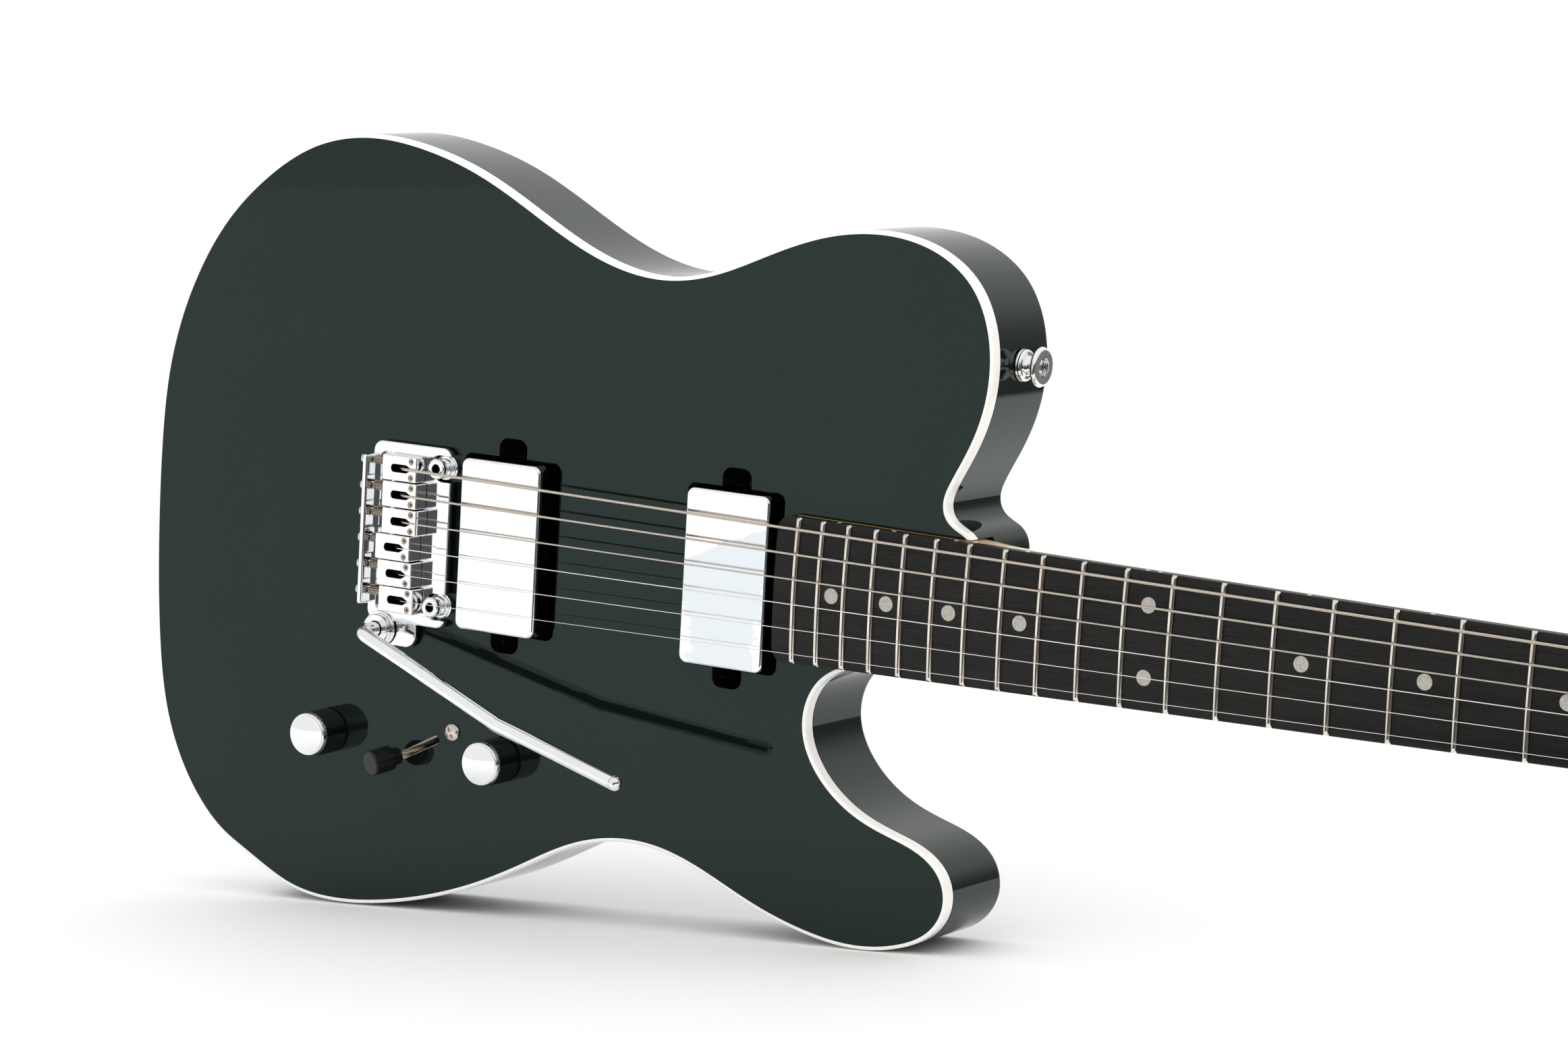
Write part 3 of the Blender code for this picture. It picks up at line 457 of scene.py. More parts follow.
def carve(obj, *cutters):
    """Cuts shapes out of an object for good."""
    helpers = []
    for i, shape in enumerate(cutters):
        helper = new_object(f"{obj.name}_cutter_{i}", shape)
        modifier = obj.modifiers.new(helper.name, "BOOLEAN")
        modifier.operation = "DIFFERENCE"
        modifier.object = helper
        helpers.append(helper)
    graph = bpy.context.evaluated_depsgraph_get()
    mesh = bpy.data.meshes.new_from_object(obj.evaluated_get(graph))
    obj.modifiers.clear()
    obj.data = mesh
    for helper in helpers:
        bpy.data.objects.remove(helper, do_unlink=True)
    return obj


def piece(name, shape, material, node, body="guitar", cutters=(), local=None, sharp=32):
    """Makes a visible piece that rides on a body and stands for a CAD node."""
    obj = new_object(name, shape)
    if cutters:
        carve(obj, *cutters)
    mesh = obj.data
    mesh.materials.clear()
    mesh.materials.append(material)
    places = np.empty(3 * len(mesh.vertices), np.float32)
    mesh.vertices.foreach_get("co", places)
    mesh.attributes.new("place", "FLOAT_VECTOR", "POINT").data.foreach_set("vector", places / MM)
    mesh.transform(GUITAR @ (local or Matrix.Identity(4)))
    mesh.shade_smooth()
    mesh.set_sharp_from_angle(angle=radians(sharp))
    obj.modifiers.new("flat faces keep flat shading", "WEIGHTED_NORMAL").keep_sharp = True
    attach(obj, body)
    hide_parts(node)
    return obj


# ---------------------------------------------------------------- materials

def add_node(tree, kind, inputs=None, **settings):
    """Adds a node to a tree. An input is linked when its value is a socket, and set when it is a number."""
    made = tree.nodes.new(kind)
    for key, value in settings.items():
        setattr(made, key, value)
    for key, value in (inputs or {}).items():
        if isinstance(value, bpy.types.NodeSocket):
            tree.links.new(value, made.inputs[key])
        else:
            made.inputs[key].default_value = value
    return made


class Paint:
    """A node material made step by step. Its textures lie in each piece's own place, in millimetres."""

    def __init__(self, name, **inputs):
        self.material = bpy.data.materials.new(name)
        self.material.use_nodes = True
        self.tree = self.material.node_tree
        self.shader = self.tree.nodes["Principled BSDF"]
        self.place = self.node("ShaderNodeAttribute", attribute_name="place").outputs["Vector"]
        for key, value in inputs.items():
            self.set(key.replace("_", " ").title().replace("Ior", "IOR"), value)

    def node(self, kind, inputs=None, **settings):
        return add_node(self.tree, kind, inputs, **settings)

    def set(self, key, value):
        if isinstance(value, bpy.types.NodeSocket):
            self.tree.links.new(value, self.shader.inputs[key])
        elif isinstance(value, tuple) and len(value) == 3:
            self.shader.inputs[key].default_value = (*value, 1.0)
        else:
            self.shader.inputs[key].default_value = value

    def space(self, stretch):
        return self.node("ShaderNodeMapping", {"Vector": self.place, "Scale": stretch}).outputs[0]

    def along(self, axis):
        """How far along one axis of the place: 0 for x, 1 for minus h, 2 for z."""
        return self.node("ShaderNodeSeparateXYZ", {0: self.place}).outputs[axis]

    def noise(self, size, detail=3.0, roughness=0.5, stretch=(1, 1, 1), distortion=0.0):
        """Cloudy noise whose features are about size millimetres wide."""
        inputs = {"Vector": self.space(stretch), "Scale": 1 / size, "Detail": detail,
                  "Roughness": roughness, "Distortion": distortion}
        return self.node("ShaderNodeTexNoise", inputs).outputs["Fac"]

    def cells(self, size):
        inputs = {"Vector": self.space((1, 1, 1)), "Scale": 1 / size}
        return self.node("ShaderNodeTexVoronoi", inputs).outputs["Distance"]

    def band(self, value, low, high, to_low=0.0, to_high=1.0):
        """value from low to high becomes to_low to to_high, with smooth ends."""
        inputs = {0: value, 1: low, 2: high, 3: to_low, 4: to_high}
        return self.node("ShaderNodeMapRange", inputs, interpolation_type="SMOOTHSTEP").outputs[0]

    def mix(self, factor, first, second):
        made = self.node("ShaderNodeMix", {0: factor}, data_type="RGBA")
        for key, value in ((6, first), (7, second)):
            if isinstance(value, bpy.types.NodeSocket):
                self.tree.links.new(value, made.inputs[key])
            else:
                made.inputs[key].default_value = (*value, 1.0)
        return made.outputs[2]

    def sum(self, first, second, operation="ADD"):
        return self.node("ShaderNodeMath", {0: first, 1: second}, operation=operation).outputs[0]

    def bump(self, height, depth, strength=1.0):
        """Raises the surface by height times depth millimetres."""
        inputs = {"Height": height, "Distance": depth * MM, "Strength": strength}
        before = self.shader.inputs["Normal"]
        if before.is_linked:
            inputs["Normal"] = before.links[0].from_socket
        self.set("Normal", self.node("ShaderNodeBump", inputs).outputs[0])


def lacquer():
    paint = Paint("black_lacquer", specular_ior_level=0.36, specular_tint=(0.70, 1.0, 0.91))
    cloud = paint.noise(60, detail=2)
    paint.set("Base Color", paint.mix(cloud, (0.0032, 0.0052, 0.0046), (0.0050, 0.0074, 0.0066)))
    swirls = paint.noise(0.5, detail=2, stretch=(1.0, 1.0, 0.12))
    haze = paint.band(paint.noise(35, detail=4), 0.45, 0.75, 0.018, 0.045)
    paint.set("Roughness", paint.sum(haze, paint.band(swirls, 0.60, 0.78, 0.0, 0.02)))
    paint.bump(paint.noise(9, detail=1), 0.0035)
    return paint.material


def cream():
    paint = Paint("cream_binding", specular_ior_level=0.5)
    cloud = paint.noise(14, detail=4)
    paint.set("Base Color", paint.mix(cloud, (0.90, 0.885, 0.84), (0.95, 0.945, 0.92)))
    paint.set("Roughness", paint.band(paint.noise(3, detail=3), 0.4, 0.7, 0.08, 0.2))
    paint.set("Subsurface Weight", 0.08)
    paint.set("Subsurface Scale", 0.002)
    paint.bump(paint.noise(5, detail=2), 0.003)
    return paint.material


def rosewood():
    paint = Paint("dark_rosewood", specular_ior_level=0.22)
    figure = paint.noise(7, detail=5, roughness=0.6, stretch=(0.05, 1, 1), distortion=0.6)
    pores = paint.band(paint.noise(0.35, detail=3, roughness=0.7, stretch=(0.03, 1, 1)), 0.56, 0.68)
    wood = paint.mix(paint.band(figure, 0.3, 0.7), (0.0052, 0.0054, 0.0050), (0.0125, 0.0118, 0.0106))
    paint.set("Base Color", paint.mix(pores, wood, (0.0040, 0.0030, 0.0026)))
    smooth = paint.band(figure, 0.3, 0.7, 0.30, 0.44)
    paint.set("Roughness", paint.sum(smooth, paint.sum(pores, 0.2, "MULTIPLY")))
    paint.bump(pores, -0.06)
    paint.bump(figure, 0.02)
    return paint.material


def maple():
    paint = Paint("amber_maple", coat_weight=0.6, coat_roughness=0.04)
    rings = paint.noise(6, detail=4, stretch=(0.04, 1, 1), distortion=0.8)
    flecks = paint.band(paint.noise(0.6, detail=3, stretch=(0.05, 1, 1)), 0.55, 0.72)
    wood = paint.mix(paint.band(rings, 0.3, 0.7), (0.70, 0.43, 0.12), (0.86, 0.59, 0.25))
    paint.set("Base Color", paint.mix(flecks, wood, (0.60, 0.34, 0.10)))
    paint.set("Roughness", paint.band(rings, 0.3, 0.7, 0.10, 0.2))
    paint.bump(rings, 0.01)
    return paint.material


def metal(name, colour, roughness, tint=None, wear=0.03, grain=(1, 1, 1)):
    """Polished or plated metal with fine scratches, faint smudges and small pits."""
    paint = Paint(name, metallic=1.0)
    smudge = paint.noise(11, detail=4)
    tint = tint or tuple(0.94 * c for c in colour)
    paint.set("Base Color", paint.mix(paint.band(smudge, 0.35, 0.75), colour, tint))
    scratches = paint.noise(0.35, detail=3, roughness=0.7, stretch=grain)
    spread = paint.band(smudge, 0.4, 0.75, roughness, roughness + wear)
    paint.set("Roughness", paint.sum(spread, paint.band(scratches, 0.58, 0.8, 0.0, wear)))
    paint.bump(scratches, 0.0005)
    pits = paint.band(paint.cells(2.6), 0.05, 0.09)
    paint.bump(pits, 0.0015, strength=0.5)
    return paint.material


def knurled_chrome():
    """Chrome that is bright on the knob's end; down the knurled side its colour is painted dark, a painted
    reflection of the black body, and it is a little rougher.
    """
    paint = Paint("knob_chrome", metallic=1.0)
    smudge = paint.noise(9, detail=4)
    side = paint.band(paint.along(1), -KNURL_TOP, -KNURL_TOP + 0.3)
    # The knurled side's colour is painted dark: a painted reflection of the black body beside it
    painted_dark_reflection = paint.mix(smudge, (0.24, 0.26, 0.26), (0.34, 0.36, 0.36))
    end_chrome = paint.mix(smudge, (0.86, 0.87, 0.88), (0.90, 0.91, 0.92))
    paint.set("Base Color", paint.mix(side, end_chrome, painted_dark_reflection))
    smooth = paint.band(smudge, 0.4, 0.75, 0.04, 0.07)
    paint.set("Roughness", paint.sum(smooth, paint.sum(side, 0.12, "MULTIPLY")))
    paint.bump(paint.noise(0.5, detail=3), 0.0005)
    return paint.material


def wound(name, pitch):
    """A wrapped string: rings of round wire along it."""
    paint = Paint(name, metallic=1.0)
    phase = paint.sum(paint.along(0), 2 * pi / pitch, "MULTIPLY")
    ridge = paint.node("ShaderNodeMath", {0: phase}, operation="SINE").outputs[0]
    groove = paint.band(ridge, -1.0, 0.2)
    stain = paint.noise(8, detail=4)
    bright = paint.mix(stain, (0.80, 0.72, 0.63), (0.88, 0.82, 0.74))
    # The grooves between the windings are painted darker: painted shade between the turns
    paint.set("Base Color", paint.mix(groove, (0.40, 0.31, 0.23), bright))
    paint.set("Roughness", paint.band(stain, 0.3, 0.7, 0.22, 0.36))
    paint.bump(groove, 0.22 * pitch)
    return paint.material


def plastic(name, colour, roughness, grain=0.0, shine=0.5):
    paint = Paint(name, specular_ior_level=shine)
    cloud = paint.noise(8, detail=4)
    lighter = tuple(min(1.0, c * 1.35 + 0.004) for c in colour)
    paint.set("Base Color", paint.mix(cloud, colour, lighter))
    paint.set("Roughness", paint.band(cloud, 0.35, 0.7, roughness, roughness + 0.12))
    paint.bump(paint.noise(0.4, detail=3), 0.004 + grain)
    return paint.material


def pearl():
    paint = Paint("pearl_inlay")
    swirl = paint.noise(1.6, detail=4, distortion=1.5)
    cloud = paint.band(swirl, 0.35, 0.65)
    paint.set("Base Color", paint.mix(cloud, (0.36, 0.345, 0.30), (0.48, 0.465, 0.41)))
    paint.set("Roughness", paint.band(swirl, 0.3, 0.7, 0.22, 0.4))
    paint.bump(swirl, 0.004)
    return paint.material


def filmed_chrome(low, high):
    """Chrome under a half-lifted protective film, with bare patches at its edges and tiny bubbles."""
    paint = Paint("chrome_under_film", metallic=1.0)
    smudge = paint.noise(9, detail=4)
    torn = paint.noise(5.0, detail=5, roughness=0.62)
    centre = (low + high) / 2
    reach = (high - low) / 2
    # The film's curled top edge rises from the left edge of the cover to the right edge
    across = paint.sum(paint.sum(paint.along(0), low[0], "SUBTRACT"), high[0] - low[0], "DIVIDE")
    rise = paint.sum(paint.sum(paint.sum(across, 0.001, "MAXIMUM"), 0.75, "POWER"), 18.0, "MULTIPLY")
    top_edge = paint.sum(rise, paint.band(torn, 0.3, 0.7, 3.0, 5.0))
    below = paint.band(paint.sum(top_edge, paint.along(2), "SUBTRACT"), 0.0, 0.25)
    # Lower down, its two side edges are ragged
    beside = paint.node("ShaderNodeMath", {0: paint.sum(paint.along(0), centre[0], "SUBTRACT")},
                        operation="ABSOLUTE").outputs[0]
    margin = paint.sum(reach[0], beside, "SUBTRACT")
    loose = paint.band(paint.along(2), -30.0, 0.0, 4.5, -1.0)
    ragged = paint.sum(paint.sum(margin, paint.band(torn, 0.35, 0.65, -2.2, 2.2)), loose, "SUBTRACT")
    film = paint.sum(below, paint.band(ragged, 0.3, 0.6), "MULTIPLY")
    bubbles = paint.band(paint.cells(3.4), 0.05, 0.11)
    film = paint.sum(film, bubbles, "MULTIPLY")
    bare = paint.mix(smudge, (0.90, 0.91, 0.91), (0.94, 0.945, 0.94))
    paint.set("Base Color", paint.mix(film, bare, (0.74, 0.785, 0.81)))
    paint.set("Roughness", paint.band(film, 0.0, 1.0, 0.05, 0.16))
    paint.bump(film, 0.008)
    return paint.material


# ---------------------------------------------------------------- body

def make_body():
    outline = closed_spline(body_outline(), 4)
    rings = []
    for turn in np.linspace(0, pi / 2, 7):
        height = -BODY_DEPTH + BACK_ROUND * (1 - cos(turn))
        rings.append(level(inset(outline, BACK_ROUND * (1 - sin(turn))), height))
    floor = -BINDING_DEPTH - SEAM
    rings += [level(outline, floor - SEAM), level(inset(outline, SEAM), floor)]
    shelf = inset(outline, BINDING_WIDTH + SEAM / 2)
    rings += [level(shelf, floor), level(shelf, -SEAM / 2), level(inset(shelf, SEAM / 2), 0)]
    cutters = [*neck_cutters(), *pickup_cutters(), *tremolo_cutters(), *control_cutters()]
    piece("body_lacquered", skin(rings), black, "body_shell", cutters=cutters)
    low = -BINDING_DEPTH
    profile = [(SEAM, low), (0.0, low + SEAM)]
    profile += [(BINDING_ROUND * (1 - cos(turn)), -BINDING_ROUND * (1 - sin(turn)))
                for turn in np.linspace(0, pi / 2, 6)]
    profile += [(BINDING_WIDTH, 0.0), (BINDING_WIDTH, low)]
    rings = [level(inset(outline, distance), h) for distance, h in profile]
    piece("binding_strip", skin(rings, closed=True), cream(), "body_binding",
          cutters=[neck_zone(0.3, 150, 270, -10, 5)], sharp=50)


def neck_half_width(x):
    last_fret = fret_x(FRETS)
    taper = (LAST_FRET_WIDTH - NUT_WIDTH) / (SCALE - last_fret)
    return (LAST_FRET_WIDTH - taper * (x - last_fret)) / 2


def board_height(z):
    return BOARD_TOP - BOARD_RADIUS + sqrt(BOARD_RADIUS ** 2 - z ** 2)


def neck_zone(spare, x_low, x_high, low, high):
    corners = [(x, side * (neck_half_width(x) + spare))
               for x, side in ((x_low, -1), (x_high, -1), (x_high, 1), (x_low, 1))]
    return slab(corners, low, high)


def neck_cutters():
    low, high = span("neck_plate")
    recess = box_outline(low, high, 6, margin=0.3)
    pocket = neck_zone(0.3, HEEL_END - 0.3, 270, BOARD_BOTTOM - HEEL_DEPTH - 0.6, 4)
    return [pocket, slab(recess, -50, -BODY_DEPTH + 2.1)]


def pickup_cutters():
    cutters = []
    for name, half_width in (("bridge", 23.3), ("neck", 22.3)):
        x = middle(f"{name}_pickup_cover")[0]
        cutters.append(slab(rectangle(x - half_width, x + half_width, -35.6, 35.6, 3.5), -ROUT_DEPTH, 5))
        cutters.append(slab(rectangle(x - 6.7, x + 6.7, -43.2, 43.2, 4), -ROUT_DEPTH + 0.4, 5.5))
    return cutters


def tremolo_cutters():
    cavity = slab(rectangle(-22.5, 3, -32, 32, 3), -SPRING_ROOF - 2, 4)
    springs = slab(rectangle(-30, 108, -33, 33, 5), -50, -SPRING_ROOF)
    recess = slab(rectangle(-38.3, 116.3, -41.3, 41.3, 8), -50, -COVER_RECESS)
    cutters = [cavity, springs, recess]
    for name in ("bass", "treble"):
        x, _, z = middle(f"{name}_pivot_stud")
        cutters.append(rod((x, -22, z), (x, 3, z), 4.9))
    return cutters


def control_cutters():
    cutters = [slab(rectangle(-66, 64, -108, -67, 10), -50, -TOP_THICKNESS),
               slab(rectangle(-73.3, 71.3, -115.3, -59.7, 14), -50, -COVER_RECESS)]
    for name in ("volume", "tone"):
        x, _, z = joint_place(f"{name}_turn")
        cutters.append(rod((x, -12, z), (x, 3, z), 4.9))
    cutters.append(turn_shape(slab(rectangle(*SWITCH_SLOT, 1.6), -12, 3), SWITCH_ANGLE, switch_centre()))
    for side in (-1, 1):
        hole = rod((side * SWITCH_SCREW_X, -12, 0), (side * SWITCH_SCREW_X, 3, 0), 1.8)
        cutters.append(turn_shape(hole, SWITCH_ANGLE, switch_centre()))
    cutters.append(turn_shape(rod((0, 0, -8), (0, 0, 46), 10.5), JACK_ANGLE, JACK_PLACE))
    return cutters


def turn_shape(shape, angle, centre):
    """Turns a shape about the h axis, as Blender turns its Y axis, and moves it to centre."""
    points, faces = shape
    c, s = cos(angle), sin(angle)
    x = points[:, 0] * c + points[:, 2] * s
    z = -points[:, 0] * s + points[:, 2] * c
    return np.column_stack((x, points[:, 1], z)) + np.array(centre, float), faces


def switch_centre():
    x, _, z = joint_place("selector_tilt")
    return x, 0.0, z


# ---------------------------------------------------------------- neck and fingerboard

def neck_ring(x, top, half_width, depth, squareness, count=28):
    """A D-shaped section: flat on top, and a superellipse below."""
    ring = []
    for turn in np.linspace(0, pi, count + 1):
        side = abs(cos(turn)) ** (2 / squareness) * (1 if turn < pi / 2 else -1)
        ring.append((x, top - depth * sin(turn) ** (2 / squareness), half_width * side))
    return np.array(ring)


def make_neck():
    top = BOARD_BOTTOM - 0.05
    stations = ((HEEL_END, HEEL_DEPTH, 9), (250, HEEL_DEPTH, 9), (256, 17.25, 8), (260, 17.0, 6.5),
                (265, 16.4, 5), (271, 15.6, 4), (280, 14.8, 3.1), (296, 14.1, 2.5), (340, 13.9, 2.4),
                (400, 13.6, 2.3), (520, 13.1, 2.2), (620, 12.8, 2.2), (638, 13.4, 2.3), (648, 14.6, 2.6))
    rings = [neck_ring(x, top, neck_half_width(x), depth, square) for x, depth, square in stations]
    slope = tan(HEADSTOCK_ANGLE)
    for t in np.linspace(0, 1, 6)[1:]:
        x = NUT_FRONT + 18 * t
        drop = 18 * t * slope
        rings.append(neck_ring(x, top - drop - 0.3, 21.0 - 1.0 * t, 15.0 - 2.0 * t, 2.8))
    piece("neck_wood", skin(rings), amber, "neck")
    slab_shape = slab(headstock_outline(), -HEADSTOCK_THICKNESS, 0, top=1.5, bottom=1.5)
    holes = []
    for number in range(1, 7):
        x, z = post_position(number)
        holes.append(rod((x, -18, z), (x, 3, z), 5.3))
    piece("headstock_wood", slab_shape, amber, "neck", cutters=holes, local=HEADSTOCK)


def headstock_outline():
    return rounded([
        (0, 21.4, 0), (9, 21.8, 10), (30, 33.6, 9), (171, -3.6, 6), (184, -19, 6),
        (150, -34, 13), (92, -25.5, 70), (26, -30.5, 9), (9, -21.6, 8), (0, -21.4, 0),
    ], steps=10)


def make_fingerboard():
    stations = [(BOARD_END + BOARD_CORNER * (1 - cos(turn)), BOARD_CORNER * (1 - sin(turn)))
                for turn in np.linspace(0, pi / 2, 12)]
    stations += [(x, 0.0) for x in np.linspace(200, SCALE - 0.3, 24)]
    edge = 0.35
    rings = []
    for x, narrowing in stations:
        half = neck_half_width(x) - narrowing
        shoulder = half - edge
        across = [(x, board_height(z), z) for z in np.linspace(-shoulder, shoulder, 19)]
        side_top = board_height(shoulder) - edge
        rings.append([(x, BOARD_BOTTOM, -half), (x, side_top, -half), *across,
                      (x, side_top, half), (x, BOARD_BOTTOM, half)])
    piece("rosewood_board", skin(rings), rosewood(), "fingerboard")
    nickel = metal("fret_nickel", (0.80, 0.75, 0.68), 0.10, tint=(0.70, 0.62, 0.53), wear=0.08,
                   grain=(1, 1, 0.05))
    bars = merge(*[fret(number) for number in range(1, FRETS + 1)])
    piece("frets", bars, nickel, "fingerboard")
    dots = [dot(fret_space(number), 0.0) for number in DOT_FRETS]
    dots += [dot(fret_space(12), side * DOUBLE_DOT_Z) for side in (-1, 1)]
    piece("pearl_dots", merge(*dots), pearl(), "fingerboard")
    side_dots = []
    for number in (*DOT_FRETS, 12):
        for shift in (-2.6, 2.6) if number == 12 else (0,):
            x = fret_space(number) + shift
            profile = [(0, 0.06), (0.9, 0.03), (0.95, -0.5), (0, -0.5)]
            side_dots.append(turned(profile, (x, 4.0, neck_half_width(x)), (0, 0, 1), 20))
    white = plastic("side_dot_white", (0.72, 0.71, 0.66), 0.3)
    piece("side_dots", merge(*side_dots), white, "fingerboard")


def fret_x(number):
    return SCALE / 2 ** (number / 12)


def fret_space(number):
    return (fret_x(number) + fret_x(number - 1)) / 2


def fret(number):
    x = fret_x(number)
    half = neck_half_width(x) - 0.05
    places = [(-half, 0.1), (-half + 0.5, 0.75), (-half + 0.95, 1.0)]
    places += [(z, 1.0) for z in np.linspace(-half + 2, half - 2, 13)]
    places += [(-z, share) for z, share in reversed(places[:3])]
    rings = []
    for z, share in places:
        foot = board_height(z) - 0.5
        ring = [(x - FRET_WIDTH / 2, foot, z)]
        for turn in np.linspace(pi, 0, 9):
            rise = FRET_HEIGHT * share * sin(turn) ** 0.8
            ring.append((x + FRET_WIDTH / 2 * cos(turn), board_height(z) + rise, z))
        ring.append((x + FRET_WIDTH / 2, foot, z))
        rings.append(ring)
    return skin(rings)


def dot(x, z, sides=32):
    turns = np.arange(sides) * 2 * pi / sides
    rings = []
    for radius, rise in ((DOT_RADIUS, -0.4), (DOT_RADIUS, 0.02), (DOT_RADIUS - 0.1, 0.04)):
        ring = []
        for turn in turns:
            across = z + radius * sin(turn)
            ring.append((x + radius * cos(turn), board_height(across) + rise, across))
        rings.append(ring)
    return skin(rings)


def make_nut():
    half = neck_half_width(SCALE)
    outline = rectangle(SCALE + 0.05, NUT_FRONT, -half, half, 0.8)
    slots = []
    for number in range(1, 7):
        width = STRING_DIAMETERS[number - 1] / 2 + 0.05
        z = string_z(number, STRING_PITCH_NUT)
        bottom = nut_height(number) - STRING_DIAMETERS[number - 1] / 2
        slots.append(slab(rectangle(SCALE - 2, NUT_FRONT + 2, z - width, z + width, 0.02, 1), bottom, 15))
    piece("bone_nut", slab(outline, BOARD_BOTTOM, 9.3, top=0.6), bone, "nut", cutters=slots)


# ---------------------------------------------------------------- strings

def string_z(number, pitch):
    """Across the strings: number 1 is the thin treble string, 6 the thick bass string."""
    return (number - 3.5) * pitch


def nut_height(number):
    z = string_z(number, STRING_PITCH_NUT)
    return board_height(z) + FRET_HEIGHT + 0.2 + STRING_DIAMETERS[number - 1] / 2


def saddle_front(number):
    return span(f"saddle_{number}")[1][0]


def on_headstock(x, h, z):
    """A point in the headstock's frame, as (x, h, z) in the guitar's frame."""
    back, down = cos(HEADSTOCK_ANGLE), sin(HEADSTOCK_ANGLE)
    return NUT_FRONT + x * back + h * down, BOARD_BOTTOM - 0.3 + h * back - x * down, z


def post_position(number):
    x = FIRST_POST + (6 - number) * POST_STEP
    spread = (STRING_PITCH_BRIDGE - STRING_PITCH_NUT) / SCALE
    z = string_z(number, STRING_PITCH_NUT - spread * x)
    return x, z + POST_RADIUS + 0.3 + STRING_DIAMETERS[number - 1] / 2


def make_string(number):
    radius = STRING_DIAMETERS[number - 1] / 2
    rise_x = saddle_front(number) - STRING_RISE
    crest = SADDLE_STRING_HEIGHTS[number - 1]
    z = string_z(number, STRING_PITCH_BRIDGE)
    path = [(rise_x, -30, z), (rise_x, crest - 6.5, z)]
    for turn in np.linspace(0.15, pi / 2, 8):
        path.append((rise_x + 6.5 * (1 - cos(turn)), crest - 6.5 + 6.5 * sin(turn), z))
    x_nut, z_nut = NUT_FRONT - 2, string_z(number, STRING_PITCH_NUT)
    for t in np.linspace(0, 1, 24)[1:]:
        start = np.array(path[9])
        path.append(tuple(start + (np.array((x_nut, nut_height(number), z_nut)) - start) * t))
    post_x, post_z = post_position(number)
    reach = 2.5 + radius
    wraps = 2.5 if number < 4 else 1.75
    for t in np.linspace(0, 1, int(40 * wraps)):
        turn = -pi / 2 + 2 * pi * wraps * t
        height = 9.0 - 2.1 * radius * wraps * t
        path.append(on_headstock(post_x + reach * cos(turn), height, post_z + reach * sin(turn)))
    shape = sweep(path, radius, sides=10)
    piece(f"string_{number}_wire", shape, wires[number], f"string_{number}", sharp=80)


# ---------------------------------------------------------------- pickups

def make_pickup(name, finish):
    low, high = span(f"{name}_pickup_cover")
    outline = box_outline(low, high, 3.4, steps=10)
    shell = slab(outline, low[1], high[1], top=1.1, steps=6)
    hollow = slab(box_outline(low, high, 2.4, margin=-COVER_WALL), low[1] - 2, high[1] - COVER_WALL)
    piece(f"{name}_cover_metal", shell, finish, f"{name}_pickup_cover", cutters=[hollow])
    low, high = span(f"{name}_pickup_coils")
    x = (low[0] + high[0]) / 2
    core = slab(rectangle(x - 16.0, x + 16.0, -31.5, 31.5, 2.0), low[1] + 2.0, high[1], top=0.5)
    plate = slab(rectangle(x - 6, x + 6, -42, 42, 3), low[1] + 1.2, low[1] + 2.4, top=0.2)
    piece(f"{name}_coil_block", core, black_plastic, f"{name}_pickup_coils")
    piece(f"{name}_mounting_leg", plate, black_steel, f"{name}_pickup_coils")
    screws = []
    head = [(0, 1.7)] + arc(0, -0.6, 2.3, 80, 35) + [(2.2, 0.0), (1.2, 0.0), (1.2, -4), (0, -4)]
    for z in (-MOUNT_SCREW_Z, MOUNT_SCREW_Z):
        screws.append(turned(head, (x, low[1] + 2.4, z)))
        screws.append(coil((x, low[1] - 2.6, z), (x, low[1] + 1.2, z), 1.9, 0.3, 4))
    piece(f"{name}_mounting_screws", merge(*screws), steel, f"{name}_pickup_coils")


# ---------------------------------------------------------------- tremolo

def make_plate():
    low, high = span("tremolo_plate")
    x_low, x_high, z_low, z_high = low[0], high[0], -36.6, high[2]
    outline = rectangle(x_low, x_high, z_low, z_high, 4.2, steps=8)
    shape = slab(outline, low[1], PLATE_RIM, top=0.6, bottom=0.3)
    notches = []
    for name in ("bass", "treble"):
        x, _, z = middle(f"{name}_pivot_stud")
        notches.append(slab(rectangle(x - 5.4, x_high + 12, z - 5.4, z + 5.4, 5.3, steps=10), -3, 12))
    tray = slab(rectangle(-18.0, 11.0, -32.6, 32.3, 2.5), PLATE_FLOOR, 12)
    holes = []
    for number in range(1, 7):
        x, z = saddle_front(number) - STRING_RISE, string_z(number, STRING_PITCH_BRIDGE)
        holes.append(rod((x, -2, z), (x, 6, z), 2.2))
    piece("bridge_tray", shape, chrome, "tremolo_plate", "tremolo", cutters=[tray, *notches, *holes])
    lip = slab(rectangle(*LIP_X, -30.0, 31, 1.1, steps=8), 2.2, 12.0, top=0.9)
    screw_holes = []
    for number in range(1, 7):
        z = intonation_z(number)
        screw_holes.append(rod((-26, SCREW_HEIGHT, z), (-16, SCREW_HEIGHT, z), 1.7))
    piece("bridge_lip", lip, chrome, "tremolo_plate", "tremolo", cutters=screw_holes)
    arm_x, arm_z = arm_centre()
    outline = rectangle(x_low + 0.6, 2.2, -46.4, -31, 5.2, steps=10)
    tab = slab(outline, low[1] + 0.1, 3.6, top=0.6, bottom=0.3)
    collar = turned([(3.4, 8.0)] + arc(5.4, 7.4, 0.7, 90, 0) + [(6.1, 5.6), (5.5, 5.2)]
                    + arc(6.9, 4.9, 0.4, 90, 0) + [(7.3, 4.3), (3.4, 4.3)], (arm_x, 0, arm_z))
    bore = rod((arm_x, -3, arm_z), (arm_x, 12, arm_z), 3.35)
    piece("arm_tab", tab, chrome, "tremolo_plate", "tremolo", cutters=[bore])
    piece("arm_collar", collar, chrome, "tremolo_plate", "tremolo", cutters=[bore])


def arm_centre():
    x, _, z = joint_place("arm_swing")
    return x, z


def intonation_z(number):
    return string_z(number, STRING_PITCH_BRIDGE) + INTONATION_SHIFT


